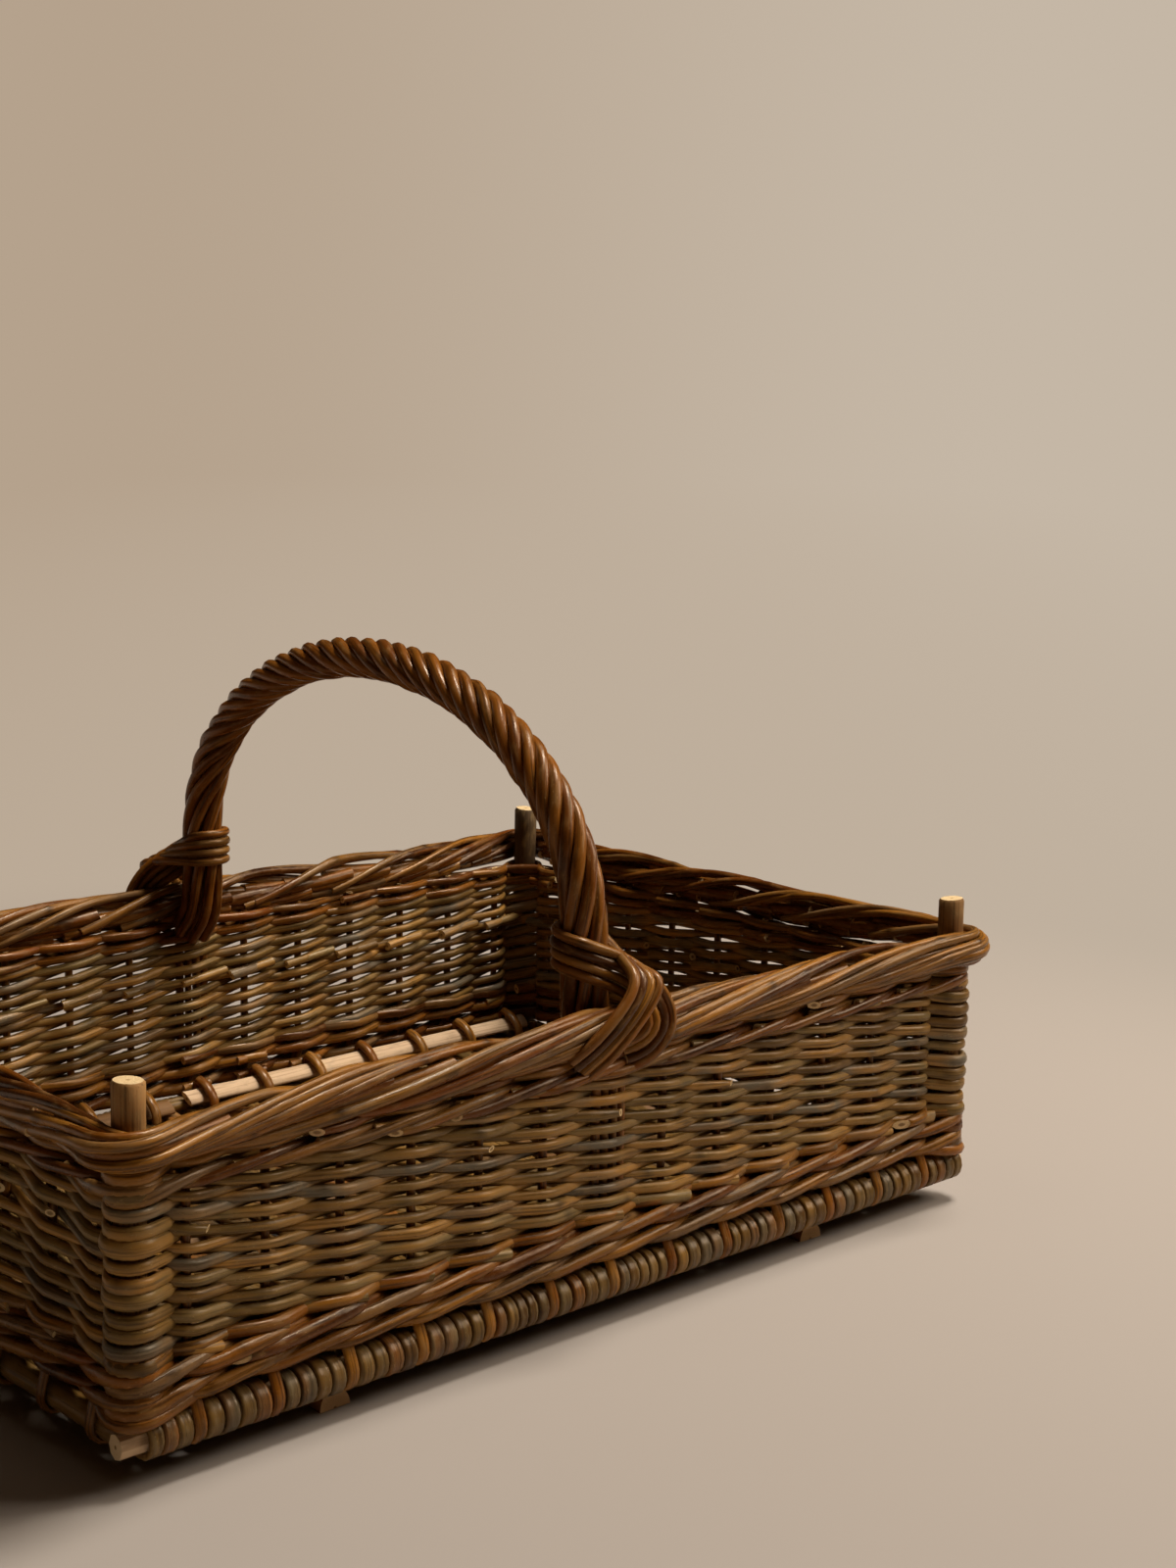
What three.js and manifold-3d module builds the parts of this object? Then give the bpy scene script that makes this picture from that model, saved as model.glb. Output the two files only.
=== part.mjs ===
// Rectangular willow garden basket with a fixed roped handle.
// Millimetres, +Z up, X along the length, -Y the front. The origin is the middle of the floor under it.
import * as THREE from 'three';
import { mergeVertices } from 'three/addons/utils/BufferGeometryUtils.js';
import Module from 'manifold-3d';

// Plan of the basket, on the centre lines of the corner posts.
const POST_SPAN_X = 480;
const POST_SPAN_Y = 318;
const POST_DIAMETER = 13;
const POST_PROUD = 13;
const POST_BEVEL = 1.5;

// Upright stakes between the posts.
const STAKE_DIAMETER = 6;
const STAKES_LONG = 13;
const POST_TO_STAKE_LONG = 24;
const STAKES_END = 9;
const POST_TO_STAKE_END = 19;

// Base: runners, rails, end sticks, slats and the weaver that ties them.
const RUNNER_WIDTH = 15;
const RUNNER_HEIGHT = 8;
const RUNNER_PITCH_COUNT = 8;
const RUNNER_INSET = 16;
const RAIL_DIAMETER = 11;
const RAIL_SET_OUT = 2;
const RAIL_OVERHANG = 9;
const RAIL_WHITTLE = 5;
const RAIL_TIP_DIAMETER = 7;
const END_STICK_DIAMETER = 11;
const END_STICK_BEVEL = 1;
const SLAT_COUNT = 3;
const SLAT_WIDTH = 16;
const SLAT_THICKNESS = 5;
const BASE_WEAVER_DIAMETER = 5.2;
const PASSES_PER_STAKE = 4;
const WRAP_RINGS = 4;

// Woven sides, from the bottom up.
const BOTTOM_WALE_RODS = 4;
const BOTTOM_WALE_DIAMETER = 3.8;
const BOTTOM_WALE_STEP = 8.2;
const SIDE_ROD_DIAMETER = 6;
const SIDE_ROW_PITCH = 6.6;
const SIDE_ROWS = 9;
const TOP_WALE_RODS = 3;
const TOP_WALE_DIAMETER = 3.8;
const TOP_WALE_STEP = 8.6;
const ROD_END_REACH = 12;
const BOTTOM_WALE_SKIP_COUNT = 2;
const SIDE_SKIP_COUNT = 1;
const TOP_WALE_SKIP_COUNT = 6;
const ROD_TURN_PER_RING = Math.PI / 4;

// Rolled border of laid-down rods.
const BORDER_ROD_DIAMETER = 5.2;
const BORDER_RODS = 3;
const BORDER_HALF_WIDTH = 3.4;
const BORDER_HALF_HEIGHT = 7.3;
const BORDER_SET_OUT = 2;
const BORDER_ROD_STEPS = 20;
const BORDER_STATION_PITCH = 25;
const BORDER_FLARE = 45;

// Handle bow, its rope of rods and the bindings at its feet.
const BOW_DIAMETER = 9;
const BOW_FOOT_Z = 60;
const BOW_SPRING_Z = 172;
const BOW_RISE = 104.5;
const ROPE_RODS = 6;
const ROPE_ROD_DIAMETER = 4.8;
const ROPE_CLEARANCE = 0.6;
const ROPE_LEAD = 80;
const ROPE_STEPS_PER_TURN = 8;
const ROPE_FOOT_GAP = 3;
const BINDING_ROD_DIAMETER = 4.4;
const BINDING_TURNS = 4;
const BINDING_PITCH = 5.2;
const BINDING_STEPS_PER_TURN = 14;
const BINDING_TAIL_REACH = 46;
const BINDING_SHOULDER_REACH = 20;
const BINDING_START_ANGLE = -0.75 * Math.PI;

// Gap between pieces that touch on the real basket, and the turned sections' side counts.
const CLEARANCE = 0.3;
const ROD_SIDES = 4;
const BORDER_SIDES = 5;
const BINDING_SIDES = 5;
const STAKE_SIDES = 5;
const STICK_SIDES = 8;
const BOW_SIDES = 6;
const BOW_STEPS = 40;
const RUNNER_ARC_STEPS = 10;
const MERGE_TOLERANCE = 1e-4;

// Stake spacing and heights that follow from the pieces beside and on each other.
const stakePitchLong = (POST_SPAN_X - 2 * POST_TO_STAKE_LONG) / (STAKES_LONG - 1);
const stakePitchEnd = (POST_SPAN_Y - 2 * POST_TO_STAKE_END) / (STAKES_END - 1);
const weaverRadius = BASE_WEAVER_DIAMETER / 2;
const railRadius = RAIL_DIAMETER / 2;
const stakeRadius = STAKE_DIAMETER / 2;
const postRadius = POST_DIAMETER / 2;
const railY = POST_SPAN_Y / 2 + RAIL_SET_OUT;
const wrapStep = Math.PI / (WRAP_RINGS - 1);
const wrapRadius = (railRadius + CLEARANCE + weaverRadius) / Math.cos(wrapStep / 2);
const slatPitch = (2 * railY) / (SLAT_COUNT + 1);
const slatEdgeShare = SLAT_WIDTH / (2 * slatPitch);
const slatEdgeReach = SLAT_THICKNESS / 2 + CLEARANCE + weaverRadius;
const slatReach = (slatEdgeReach + slatEdgeShare * wrapRadius) / (1 - slatEdgeShare);
const baseZ = RUNNER_HEIGHT + CLEARANCE + weaverRadius + slatReach;
const bottomWaleLow = baseZ + wrapRadius + weaverRadius + CLEARANCE + BOTTOM_WALE_DIAMETER / 2;
const bottomWaleTop = bottomWaleLow + 2 * BOTTOM_WALE_STEP + BOTTOM_WALE_DIAMETER / 2;
const firstRowZ = bottomWaleTop + CLEARANCE + SIDE_ROD_DIAMETER / 2;
const rowsTop = firstRowZ + (SIDE_ROWS - 1) * SIDE_ROW_PITCH + SIDE_ROD_DIAMETER / 2;
const topWaleLow = rowsTop + CLEARANCE + TOP_WALE_DIAMETER / 2;
const topWaleTop = topWaleLow + TOP_WALE_STEP + TOP_WALE_DIAMETER / 2;
const borderReach = BORDER_HALF_HEIGHT + BORDER_ROD_DIAMETER / 2;
const borderZ = topWaleTop + CLEARANCE + borderReach;
const borderTop = borderZ + borderReach;
const postTop = borderTop + POST_PROUD;

const UP = new THREE.Vector3(0, 0, 1);
const SIDEWAYS = new THREE.Vector3(1, 0, 0);

const wasm = await Module();
wasm.setup();

// A willow rod's centre line: rings fall exactly on the given points, and where a level
// direction is given, each ring's first corner stays turned towards it.
class RodPath extends THREE.Curve {
  constructor(points, level = null) {
    super();
    this.points = points;
    this.level = level;
  }

  getPoint(t, target = new THREE.Vector3()) {
    const along = t * (this.points.length - 1);
    const i = Math.min(Math.floor(along), this.points.length - 2);
    return target.lerpVectors(this.points[i], this.points[i + 1], along - i);
  }

  getTangent(t, target = new THREE.Vector3()) {
    const last = this.points.length - 1;
    const i = Math.round(t * last);
    target.set(0, 0, 0);
    if (i > 0) target.add(this.points[i].clone().sub(this.points[i - 1]).normalize());
    if (i < last) target.add(this.points[i + 1].clone().sub(this.points[i]).normalize());
    return target.normalize();
  }

  getPointAt(u, target) {
    return this.getPoint(u, target);
  }

  getTangentAt(u, target) {
    return this.getTangent(u, target);
  }

  getSpacedPoints(divisions) {
    return this.getPoints(divisions);
  }

  computeFrenetFrames(segments, closed) {
    if (!this.level) return super.computeFrenetFrames(segments, closed);
    const tangents = Array.from({ length: segments + 1 }, (_, i) => this.getTangentAt(i / segments));
    const normals = tangents.map((t) => (
      this.level.clone().addScaledVector(t, -this.level.dot(t)).normalize()
    ));
    const binormals = tangents.map((t, i) => t.clone().cross(normals[i]));
    return { tangents, normals, binormals };
  }
}

function polygon(radius, sides) {
  const corners = [];
  for (let i = 0; i < sides; i += 1) {
    const angle = (2 * Math.PI * i) / sides;
    corners.push(new THREE.Vector2(radius * Math.cos(angle), radius * Math.sin(angle)));
  }
  return new THREE.Shape(corners);
}

function sweep(path, steps, radius, sides) {
  const section = polygon(radius, sides);
  return new THREE.ExtrudeGeometry(section, { steps, extrudePath: path, bevelEnabled: false });
}

function rodGeometry(points, diameter, sides, level = null) {
  return sweep(new RodPath(points, level), points.length - 1, diameter / 2, sides);
}

function toSolid(geometry) {
  const bare = geometry.clone();
  bare.deleteAttribute('normal');
  bare.deleteAttribute('uv');
  const merged = mergeVertices(bare, MERGE_TOLERANCE);
  return new wasm.Manifold(new wasm.Mesh({
    numProp: 3,
    vertProperties: Float32Array.from(merged.attributes.position.array),
    triVerts: Uint32Array.from(merged.index.array),
  }));
}

function join(geometries) {
  const solid = geometries.map(toSolid).reduce((sum, next) => sum.add(next));
  const { vertProperties, triVerts } = solid.getMesh();
  const geometry = new THREE.BufferGeometry();
  geometry.setAttribute('position', new THREE.BufferAttribute(vertProperties, 3));
  geometry.setIndex(new THREE.BufferAttribute(triVerts, 1));
  geometry.computeVertexNormals();
  return geometry;
}

// A stick turned about Z, whittled to a smaller tip at each end by the given lengths.
function stickGeometry(diameter, length, whittle, tipDiameter, sides) {
  const profile = [
    [0, -length / 2],
    [tipDiameter / 2, -length / 2],
    [diameter / 2, -length / 2 + whittle],
    [diameter / 2, length / 2 - whittle],
    [tipDiameter / 2, length / 2],
    [0, length / 2],
  ];
  const corners = profile.map(([r, z]) => new THREE.Vector2(r, z));
  return new THREE.LatheGeometry(corners, sides).rotateX(Math.PI / 2);
}

const finishes = {
  peeled: { color: '#c3a274', roughness: 0.62 },
  barkPost: { color: '#7c6342', roughness: 0.72 },
  brown: { color: '#7a4723', roughness: 0.42 },
  olive: { color: '#7b643a', roughness: 0.5 },
  runner: { color: '#8a4f2b', roughness: 0.6 },
};

const basket = new THREE.Group();

function addPiece(name, geometry, finish) {
  const mesh = new THREE.Mesh(geometry, new THREE.MeshStandardMaterial({ ...finish, metalness: 0 }));
  mesh.name = name;
  basket.add(mesh);
  return mesh;
}

// Every upright, counter-clockwise from the front left post: its centre, the outward
// normals of the walls that meet there, its radius, and its place along its own wall.
const walls = [
  { out: new THREE.Vector2(0, -1), half: POST_SPAN_Y / 2, count: STAKES_LONG, pitch: stakePitchLong },
  { out: new THREE.Vector2(1, 0), half: POST_SPAN_X / 2, count: STAKES_END, pitch: stakePitchEnd },
  { out: new THREE.Vector2(0, 1), half: POST_SPAN_Y / 2, count: STAKES_LONG, pitch: stakePitchLong },
  { out: new THREE.Vector2(-1, 0), half: POST_SPAN_X / 2, count: STAKES_END, pitch: stakePitchEnd },
];

function wallAlong(wall) {
  return new THREE.Vector2(-wall.out.y, wall.out.x);
}

const uprights = walls.flatMap((wall, w) => {
  const arriving = walls[(w + walls.length - 1) % walls.length];
  const corner = wall.out.clone().multiplyScalar(wall.half).addScaledVector(arriving.out, arriving.half);
  const post = { centre: corner, normals: [arriving.out, wall.out], radius: postRadius, place: -1 };
  const stakes = Array.from({ length: wall.count }, (_, place) => ({
    centre: wall.out.clone().multiplyScalar(wall.half)
      .addScaledVector(wallAlong(wall), (place - (wall.count - 1) / 2) * wall.pitch),
    normals: [wall.out],
    radius: stakeRadius,
    place,
  }));
  return [post, ...stakes];
});
const backWallStart = uprights.findIndex((u) => u.normals.length === 1 && u.normals[0].y > 0);

function offsetPoint(centre, direction, distance, z) {
  return new THREE.Vector3(centre.x + direction.x * distance, centre.y + direction.y * distance, z);
}

// The direction to the right of a heading in plan, which is outward on the way round.
function rightOf(heading) {
  return new THREE.Vector2(Math.sin(heading), -Math.cos(heading));
}

// A rod woven once round the basket and drawn tight against the uprights, with both ends on
// the back wall. stateAt gives its side (1 outside, -1 inside) and height at each upright.
function wovenRod(start, diameter, stateAt) {
  const stops = uprights.map((_, step) => {
    const index = (start + step) % uprights.length;
    const { side, z } = stateAt(index);
    const { centre, radius } = uprights[index];
    return { centre, offset: side * (radius + CLEARANCE + diameter / 2), z };
  });
  const wallHeading = wallAlong(walls[2]).angle();
  const headings = stops.slice(1).map((stop, i) => {
    const step = stop.centre.clone().sub(stops[i].centre);
    return step.angle() + Math.asin((stops[i].offset - stop.offset) / step.length());
  });
  const points = stops.flatMap(({ centre, offset, z }, i) => {
    const arrive = headings[i - 1] ?? wallHeading;
    const leave = headings[i] ?? wallHeading;
    // Round the outside of a post a rod can turn by more than half a circle.
    const turn = THREE.MathUtils.euclideanModulo(leave - arrive + Math.PI / 2, 2 * Math.PI) - Math.PI / 2;
    const rings = Math.max(1, Math.ceil(Math.abs(turn) / ROD_TURN_PER_RING));
    const reach = offset / Math.cos(turn / (2 * rings));
    return Array.from({ length: rings }, (_, ring) => (
      offsetPoint(centre, rightOf(arrive + (turn * (ring + 0.5)) / rings), reach, z)
    ));
  });
  const along = wallAlong(walls[2]);
  const last = points[points.length - 1];
  points.unshift(offsetPoint(points[0], along, -ROD_END_REACH, points[0].z));
  points.push(offsetPoint(last, along, ROD_END_REACH, last.z));
  return rodGeometry(points, diameter, ROD_SIDES, UP);
}

// Corner posts, standing on the rails' ends.
function addPosts() {
  const foot = baseZ + railRadius + CLEARANCE;
  const height = postTop - foot;
  const tipDiameter = POST_DIAMETER - 2 * POST_BEVEL;
  const names = ['front_left', 'front_right', 'back_right', 'back_left'];
  uprights.filter((u) => u.normals.length === 2).forEach((post, i) => {
    const geometry = stickGeometry(POST_DIAMETER, height, POST_BEVEL, tipDiameter, STICK_SIDES);
    const mesh = addPiece(`corner_post_${names[i]}`, geometry, finishes.barkPost);
    mesh.position.set(post.centre.x, post.centre.y, foot + height / 2);
  });
}

// A base stick along X or Y with the stakes of its wall growing out of it.
function stakedStick(stick, wall) {
  const stakeTop = borderZ - borderReach - CLEARANCE;
  const height = stakeTop - baseZ;
  const stakes = uprights.filter((u) => u.normals.length === 1 && u.normals[0] === wall.out).map((u) => (
    new THREE.CylinderGeometry(stakeRadius, stakeRadius, height, STAKE_SIDES).rotateX(Math.PI / 2)
      .translate(u.centre.x, u.centre.y, baseZ + height / 2)
  ));
  return join([stick, ...stakes]);
}

function addBaseFrame() {
  const railLength = POST_SPAN_X + 2 * RAIL_OVERHANG;
  const stickLength = 2 * (railY - railRadius - CLEARANCE);
  ['front_rail', 'right_end_stick', 'back_rail', 'left_end_stick'].forEach((name, w) => {
    const wall = walls[w];
    const isRail = wall.out.x === 0;
    const stick = isRail
      ? stickGeometry(RAIL_DIAMETER, railLength, RAIL_WHITTLE, RAIL_TIP_DIAMETER, STICK_SIDES)
      : stickGeometry(END_STICK_DIAMETER, stickLength, END_STICK_BEVEL,
        END_STICK_DIAMETER - 2 * END_STICK_BEVEL, STICK_SIDES);
    if (isRail) stick.rotateY(Math.PI / 2).translate(0, wall.out.y * railY, baseZ);
    else stick.rotateX(Math.PI / 2).translate((wall.out.x * POST_SPAN_X) / 2, 0, baseZ);
    addPiece(name, stakedStick(stick, wall), isRail ? finishes.peeled : finishes.olive);
  });
}

function slatY(index) {
  return -railY + slatPitch * (index + 1);
}

function addSlats() {
  const length = POST_SPAN_X - END_STICK_DIAMETER - 2 * CLEARANCE;
  for (let i = 0; i < SLAT_COUNT; i += 1) {
    const mesh = addPiece(`floor_slat_${i + 1}`, new THREE.BoxGeometry(length, SLAT_WIDTH, SLAT_THICKNESS),
      finishes.peeled);
    mesh.position.set(0, slatY(i), baseZ);
  }
}

// One rod worked back and forth across the base, over and under the slats and round the rails.
function addBaseWeaver() {
  const passPitch = stakePitchLong / PASSES_PER_STAKE;
  const passes = (STAKES_LONG - 1) * PASSES_PER_STAKE + 1;
  const points = [];
  for (let pass = 0; pass < passes; pass += 1) {
    const x = (pass - (passes - 1) / 2) * passPitch;
    const heading = pass % 2 === 0 ? -1 : 1;
    const railSide = pass % 2 === 0 ? -1 : 1;
    for (let i = 0; i < SLAT_COUNT; i += 1) {
      const slat = heading > 0 ? i : SLAT_COUNT - 1 - i;
      const side = slat % 2 === 0 ? -railSide : railSide;
      points.push(new THREE.Vector3(x, slatY(slat), baseZ + side * slatReach));
    }
    const turns = pass === passes - 1 ? 1 : WRAP_RINGS;
    for (let turn = 0; turn < turns; turn += 1) {
      const angle = railSide * (Math.PI / 2 - turn * wrapStep);
      points.push(new THREE.Vector3(
        x + (turn * passPitch) / (WRAP_RINGS - 1),
        heading * (railY + wrapRadius * Math.cos(angle)),
        baseZ + wrapRadius * Math.sin(angle),
      ));
    }
  }
  addPiece('base_weaver', rodGeometry(points, BASE_WEAVER_DIAMETER, ROD_SIDES, SIDEWAYS), finishes.olive);
}

// Half-round runners across the underside, flat face down.
function addRunners() {
  const length = POST_SPAN_Y - 2 * RUNNER_INSET;
  const arch = new THREE.EllipseCurve(0, 0, RUNNER_WIDTH / 2, RUNNER_HEIGHT, 0, Math.PI);
  const section = new THREE.Shape(arch.getPoints(RUNNER_ARC_STEPS));
  ['left_runner', 'right_runner'].forEach((name, i) => {
    const geometry = new THREE.ExtrudeGeometry(section, { depth: length, bevelEnabled: false })
      .translate(0, 0, -length / 2).rotateX(Math.PI / 2);
    const mesh = addPiece(name, geometry, finishes.runner);
    mesh.position.x = (i - 0.5) * RUNNER_PITCH_COUNT * stakePitchLong;
  });
}

// Four-rod wale: each rod climbs across three stakes outside, then goes behind one.
function addBottomWale() {
  for (let rod = 0; rod < BOTTOM_WALE_RODS; rod += 1) {
    const start = backWallStart + BOTTOM_WALE_SKIP_COUNT + rod;
    const geometry = wovenRod(start, BOTTOM_WALE_DIAMETER, (index) => {
      const stroke = (index + rod) % BOTTOM_WALE_RODS;
      const inside = stroke === BOTTOM_WALE_RODS - 1;
      return { side: inside ? -1 : 1, z: bottomWaleLow + (inside ? 1 : stroke) * BOTTOM_WALE_STEP };
    });
    addPiece(`bottom_wale_rod_${rod + 1}`, geometry, finishes.brown);
  }
}

// Randed sides: each rod goes before one stake and behind the next, and outside every post.
function addSides() {
  for (let row = 0; row < SIDE_ROWS; row += 1) {
    const start = backWallStart + SIDE_SKIP_COUNT + row;
    const geometry = wovenRod(start, SIDE_ROD_DIAMETER, (index) => {
      const { place } = uprights[index];
      return { side: place < 0 || (place + row) % 2 === 0 ? 1 : -1, z: firstRowZ + row * SIDE_ROW_PITCH };
    });
    addPiece(`side_rod_${row + 1}`, geometry, finishes.olive);
  }
}

// Three-rod wale under the border: low outside, high outside, then inside.
function addTopWale() {
  for (let rod = 0; rod < TOP_WALE_RODS; rod += 1) {
    const start = backWallStart + TOP_WALE_SKIP_COUNT + rod;
    const geometry = wovenRod(start, TOP_WALE_DIAMETER, (index) => {
      const stroke = (index + rod) % TOP_WALE_RODS;
      const inside = stroke === TOP_WALE_RODS - 1;
      return { side: inside ? -1 : 1, z: topWaleLow + (inside ? 0.5 : stroke) * TOP_WALE_STEP };
    });
    addPiece(`top_wale_rod_${rod + 1}`, geometry, finishes.brown);
  }
}

// Stations along the border's centre line, which swings out round each post.
function borderStations() {
  const cornerReach = postRadius + CLEARANCE + BORDER_HALF_WIDTH + BORDER_ROD_DIAMETER / 2;
  const cornerRadius = cornerReach / Math.cos(Math.PI / 12);
  const stations = [];
  walls.forEach((wall, w) => {
    const next = walls[(w + 1) % walls.length];
    const along = wallAlong(wall);
    const half = next.half;
    const count = 2 * Math.round(half / BORDER_STATION_PITCH);
    for (let i = 0; i <= count; i += 1) {
      const place = (2 * i / count - 1) * half;
      const flare = THREE.MathUtils.smoothstep(Math.abs(place), half - BORDER_FLARE, half);
      const setOut = THREE.MathUtils.lerp(BORDER_SET_OUT, cornerRadius, flare);
      const centre = wall.out.clone().multiplyScalar(wall.half + setOut).addScaledVector(along, place);
      stations.push({ centre, out: wall.out });
    }
    const post = wall.out.clone().multiplyScalar(wall.half).addScaledVector(next.out, next.half);
    for (const share of [1 / 3, 2 / 3]) {
      const out = wall.out.clone().multiplyScalar(Math.cos((share * Math.PI) / 2))
        .addScaledVector(next.out, Math.sin((share * Math.PI) / 2));
      stations.push({ centre: post.clone().addScaledVector(out, cornerRadius), out });
    }
  });
  return stations;
}

function addBorder() {
  const stations = borderStations();
  const lengths = stations.map(({ centre }, i) => (i > 0 ? centre.distanceTo(stations[i - 1].centre) : 0));
  const round = lengths.reduce((sum, length) => sum + length, 0)
    + stations[0].centre.distanceTo(stations[stations.length - 1].centre);
  for (let rod = 0; rod < BORDER_RODS; rod += 1) {
    let travelled = 0;
    const points = stations.map(({ centre, out }, i) => {
      travelled += lengths[i];
      const angle = (2 * Math.PI * ((BORDER_ROD_STEPS * travelled) / round + rod)) / BORDER_RODS;
      return offsetPoint(centre, out, BORDER_HALF_WIDTH * Math.cos(angle),
        borderZ + BORDER_HALF_HEIGHT * Math.sin(angle));
    });
    const geometry = rodGeometry(points, BORDER_ROD_DIAMETER, BORDER_SIDES, UP);
    addPiece(`border_rod_${rod + 1}`, geometry, finishes.brown);
  }
}

const bowRadius = BOW_DIAMETER / 2;
const sideOffset = stakeRadius + CLEARANCE + SIDE_ROD_DIAMETER / 2;
const sideSlope = Math.asin((2 * sideOffset) / stakePitchLong);
const wallInside = sideOffset / Math.cos(sideSlope) + SIDE_ROD_DIAMETER / 2;
const bowHalfSpan = POST_SPAN_Y / 2 - wallInside - CLEARANCE - bowRadius;

// The bow's line from one foot height over the top to the other, in the plane x = 0.
class BowArch extends THREE.Curve {
  getPoint(t, target = new THREE.Vector3()) {
    const angle = Math.PI * (1 - t);
    return target.set(0, bowHalfSpan * Math.cos(angle), BOW_SPRING_Z + BOW_RISE * Math.sin(angle));
  }
}

function bowLine(footZ) {
  const line = new THREE.CurvePath();
  const springs = [-1, 1].map((side) => new THREE.Vector3(0, side * bowHalfSpan, BOW_SPRING_Z));
  const feet = springs.map((spring) => spring.clone().setZ(footZ));
  line.add(new THREE.LineCurve3(feet[0], springs[0]));
  line.add(new BowArch());
  line.add(new THREE.LineCurve3(springs[1], feet[1]));
  return line;
}

const ropeRadius = ROPE_ROD_DIAMETER / 2;
const ropeCentre = (bowRadius + ROPE_CLEARANCE + ropeRadius) / Math.cos(Math.PI / ROPE_STEPS_PER_TURN);

function addHandle() {
  addPiece('handle_bow', sweep(bowLine(BOW_FOOT_Z), BOW_STEPS, bowRadius, BOW_SIDES), finishes.brown);
  const line = bowLine(borderTop + ROPE_FOOT_GAP);
  const turns = line.getLength() / ROPE_LEAD;
  const steps = Math.round(turns * ROPE_STEPS_PER_TURN);
  for (let rod = 0; rod < ROPE_RODS; rod += 1) {
    const points = Array.from({ length: steps + 1 }, (_, i) => {
      const angle = 2 * Math.PI * ((i / steps) * turns + rod / ROPE_RODS);
      const across = line.getTangentAt(i / steps).cross(SIDEWAYS);
      return line.getPointAt(i / steps)
        .addScaledVector(across, -ropeCentre * Math.cos(angle))
        .addScaledVector(SIDEWAYS, ropeCentre * Math.sin(angle));
    });
    const geometry = rodGeometry(points, ROPE_ROD_DIAMETER, ROD_SIDES);
    addPiece(`handle_rope_rod_${rod + 1}`, geometry, finishes.brown);
  }
}

// A binding rod: up across the border, round the roped handle, and down across the border again.
function bindingPoints() {
  const radius = BINDING_ROD_DIAMETER / 2;
  const coil = (ropeCentre + ropeRadius + CLEARANCE + radius) / Math.cos(Math.PI / BINDING_STEPS_PER_TURN);
  const faceY = -(POST_SPAN_Y / 2 + BORDER_SET_OUT + BORDER_HALF_WIDTH + BORDER_ROD_DIAMETER / 2);
  const outerY = faceY - CLEARANCE - radius;
  const coilFoot = borderTop + ROPE_FOOT_GAP + radius;
  const sweepAngle = 2 * Math.PI * BINDING_TURNS + Math.PI / 2;
  const steps = Math.round((BINDING_STEPS_PER_TURN * sweepAngle) / (2 * Math.PI));
  const turns = Array.from({ length: steps + 1 }, (_, i) => {
    const angle = BINDING_START_ANGLE + (sweepAngle * i) / steps;
    const rise = (BINDING_PITCH * sweepAngle * i) / (2 * Math.PI * steps);
    const y = -bowHalfSpan + coil * Math.sin(angle);
    return new THREE.Vector3(coil * Math.cos(angle), y, coilFoot + rise);
  });
  const tail = (side, shoulderZ) => {
    const shoulder = new THREE.Vector3(side * BINDING_SHOULDER_REACH, outerY, shoulderZ);
    const tip = new THREE.Vector3(side * BINDING_TAIL_REACH, outerY, borderZ - borderReach);
    return [shoulder, tip];
  };
  const rising = tail(-1, borderTop).reverse();
  const falling = tail(1, borderTop + radius);
  return [...rising, ...turns, ...falling];
}

// Least gap of a wound rod to itself, leaving out points closer along it than two thirds of a turn.
function leastSelfGap(points, diameter) {
  const fine = new RodPath(points).getPoints((points.length - 1) * 4);
  const skip = Math.round((2 / 3) * BINDING_STEPS_PER_TURN * 4);
  let least = Infinity;
  for (let i = 0; i < fine.length; i += 1) {
    for (let k = i + skip; k < fine.length; k += 1) least = Math.min(least, fine[i].distanceTo(fine[k]));
  }
  return least - diameter;
}

function addBindings() {
  const points = bindingPoints();
  const gap = leastSelfGap(points, BINDING_ROD_DIAMETER);
  console.log(`handle binding, least gap to itself ${gap.toFixed(2)} mm`);
  const geometry = rodGeometry(points, BINDING_ROD_DIAMETER, BINDING_SIDES);
  addPiece('front_handle_binding', geometry, finishes.brown);
  addPiece('back_handle_binding', geometry, finishes.brown).rotation.z = Math.PI;
}

addRunners();
addBaseFrame();
addSlats();
addBaseWeaver();
addPosts();
addBottomWale();
addSides();
addTopWale();
addBorder();
addHandle();
addBindings();

export default basket;
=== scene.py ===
import logging
import math
from dataclasses import dataclass, field
from enum import Enum
from typing import Callable, Sequence, Union

import bpy
import numpy as np
from mathutils import Matrix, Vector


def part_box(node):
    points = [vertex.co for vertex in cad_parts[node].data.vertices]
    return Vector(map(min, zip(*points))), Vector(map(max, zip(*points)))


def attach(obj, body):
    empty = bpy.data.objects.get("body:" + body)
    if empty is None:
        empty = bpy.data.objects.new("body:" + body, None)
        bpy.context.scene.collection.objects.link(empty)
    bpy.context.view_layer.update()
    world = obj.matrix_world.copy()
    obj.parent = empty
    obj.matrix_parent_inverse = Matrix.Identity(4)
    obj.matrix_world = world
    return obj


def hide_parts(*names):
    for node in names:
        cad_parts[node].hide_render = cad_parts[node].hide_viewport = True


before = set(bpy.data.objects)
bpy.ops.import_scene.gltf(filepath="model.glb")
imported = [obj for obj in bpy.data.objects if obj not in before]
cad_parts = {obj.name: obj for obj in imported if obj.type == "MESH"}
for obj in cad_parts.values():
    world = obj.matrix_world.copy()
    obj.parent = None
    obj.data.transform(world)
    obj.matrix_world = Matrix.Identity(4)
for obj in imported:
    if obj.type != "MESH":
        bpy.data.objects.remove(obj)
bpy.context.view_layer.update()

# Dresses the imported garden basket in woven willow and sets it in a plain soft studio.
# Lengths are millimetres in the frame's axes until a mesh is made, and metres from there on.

MM = 0.001
UP = np.array([0.0, 0.0, 1.0])
ALONG_X = np.array([1.0, 0.0, 0.0])
SEED = 324
CORNERS = ("front_left", "front_right", "back_right", "back_left")
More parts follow.
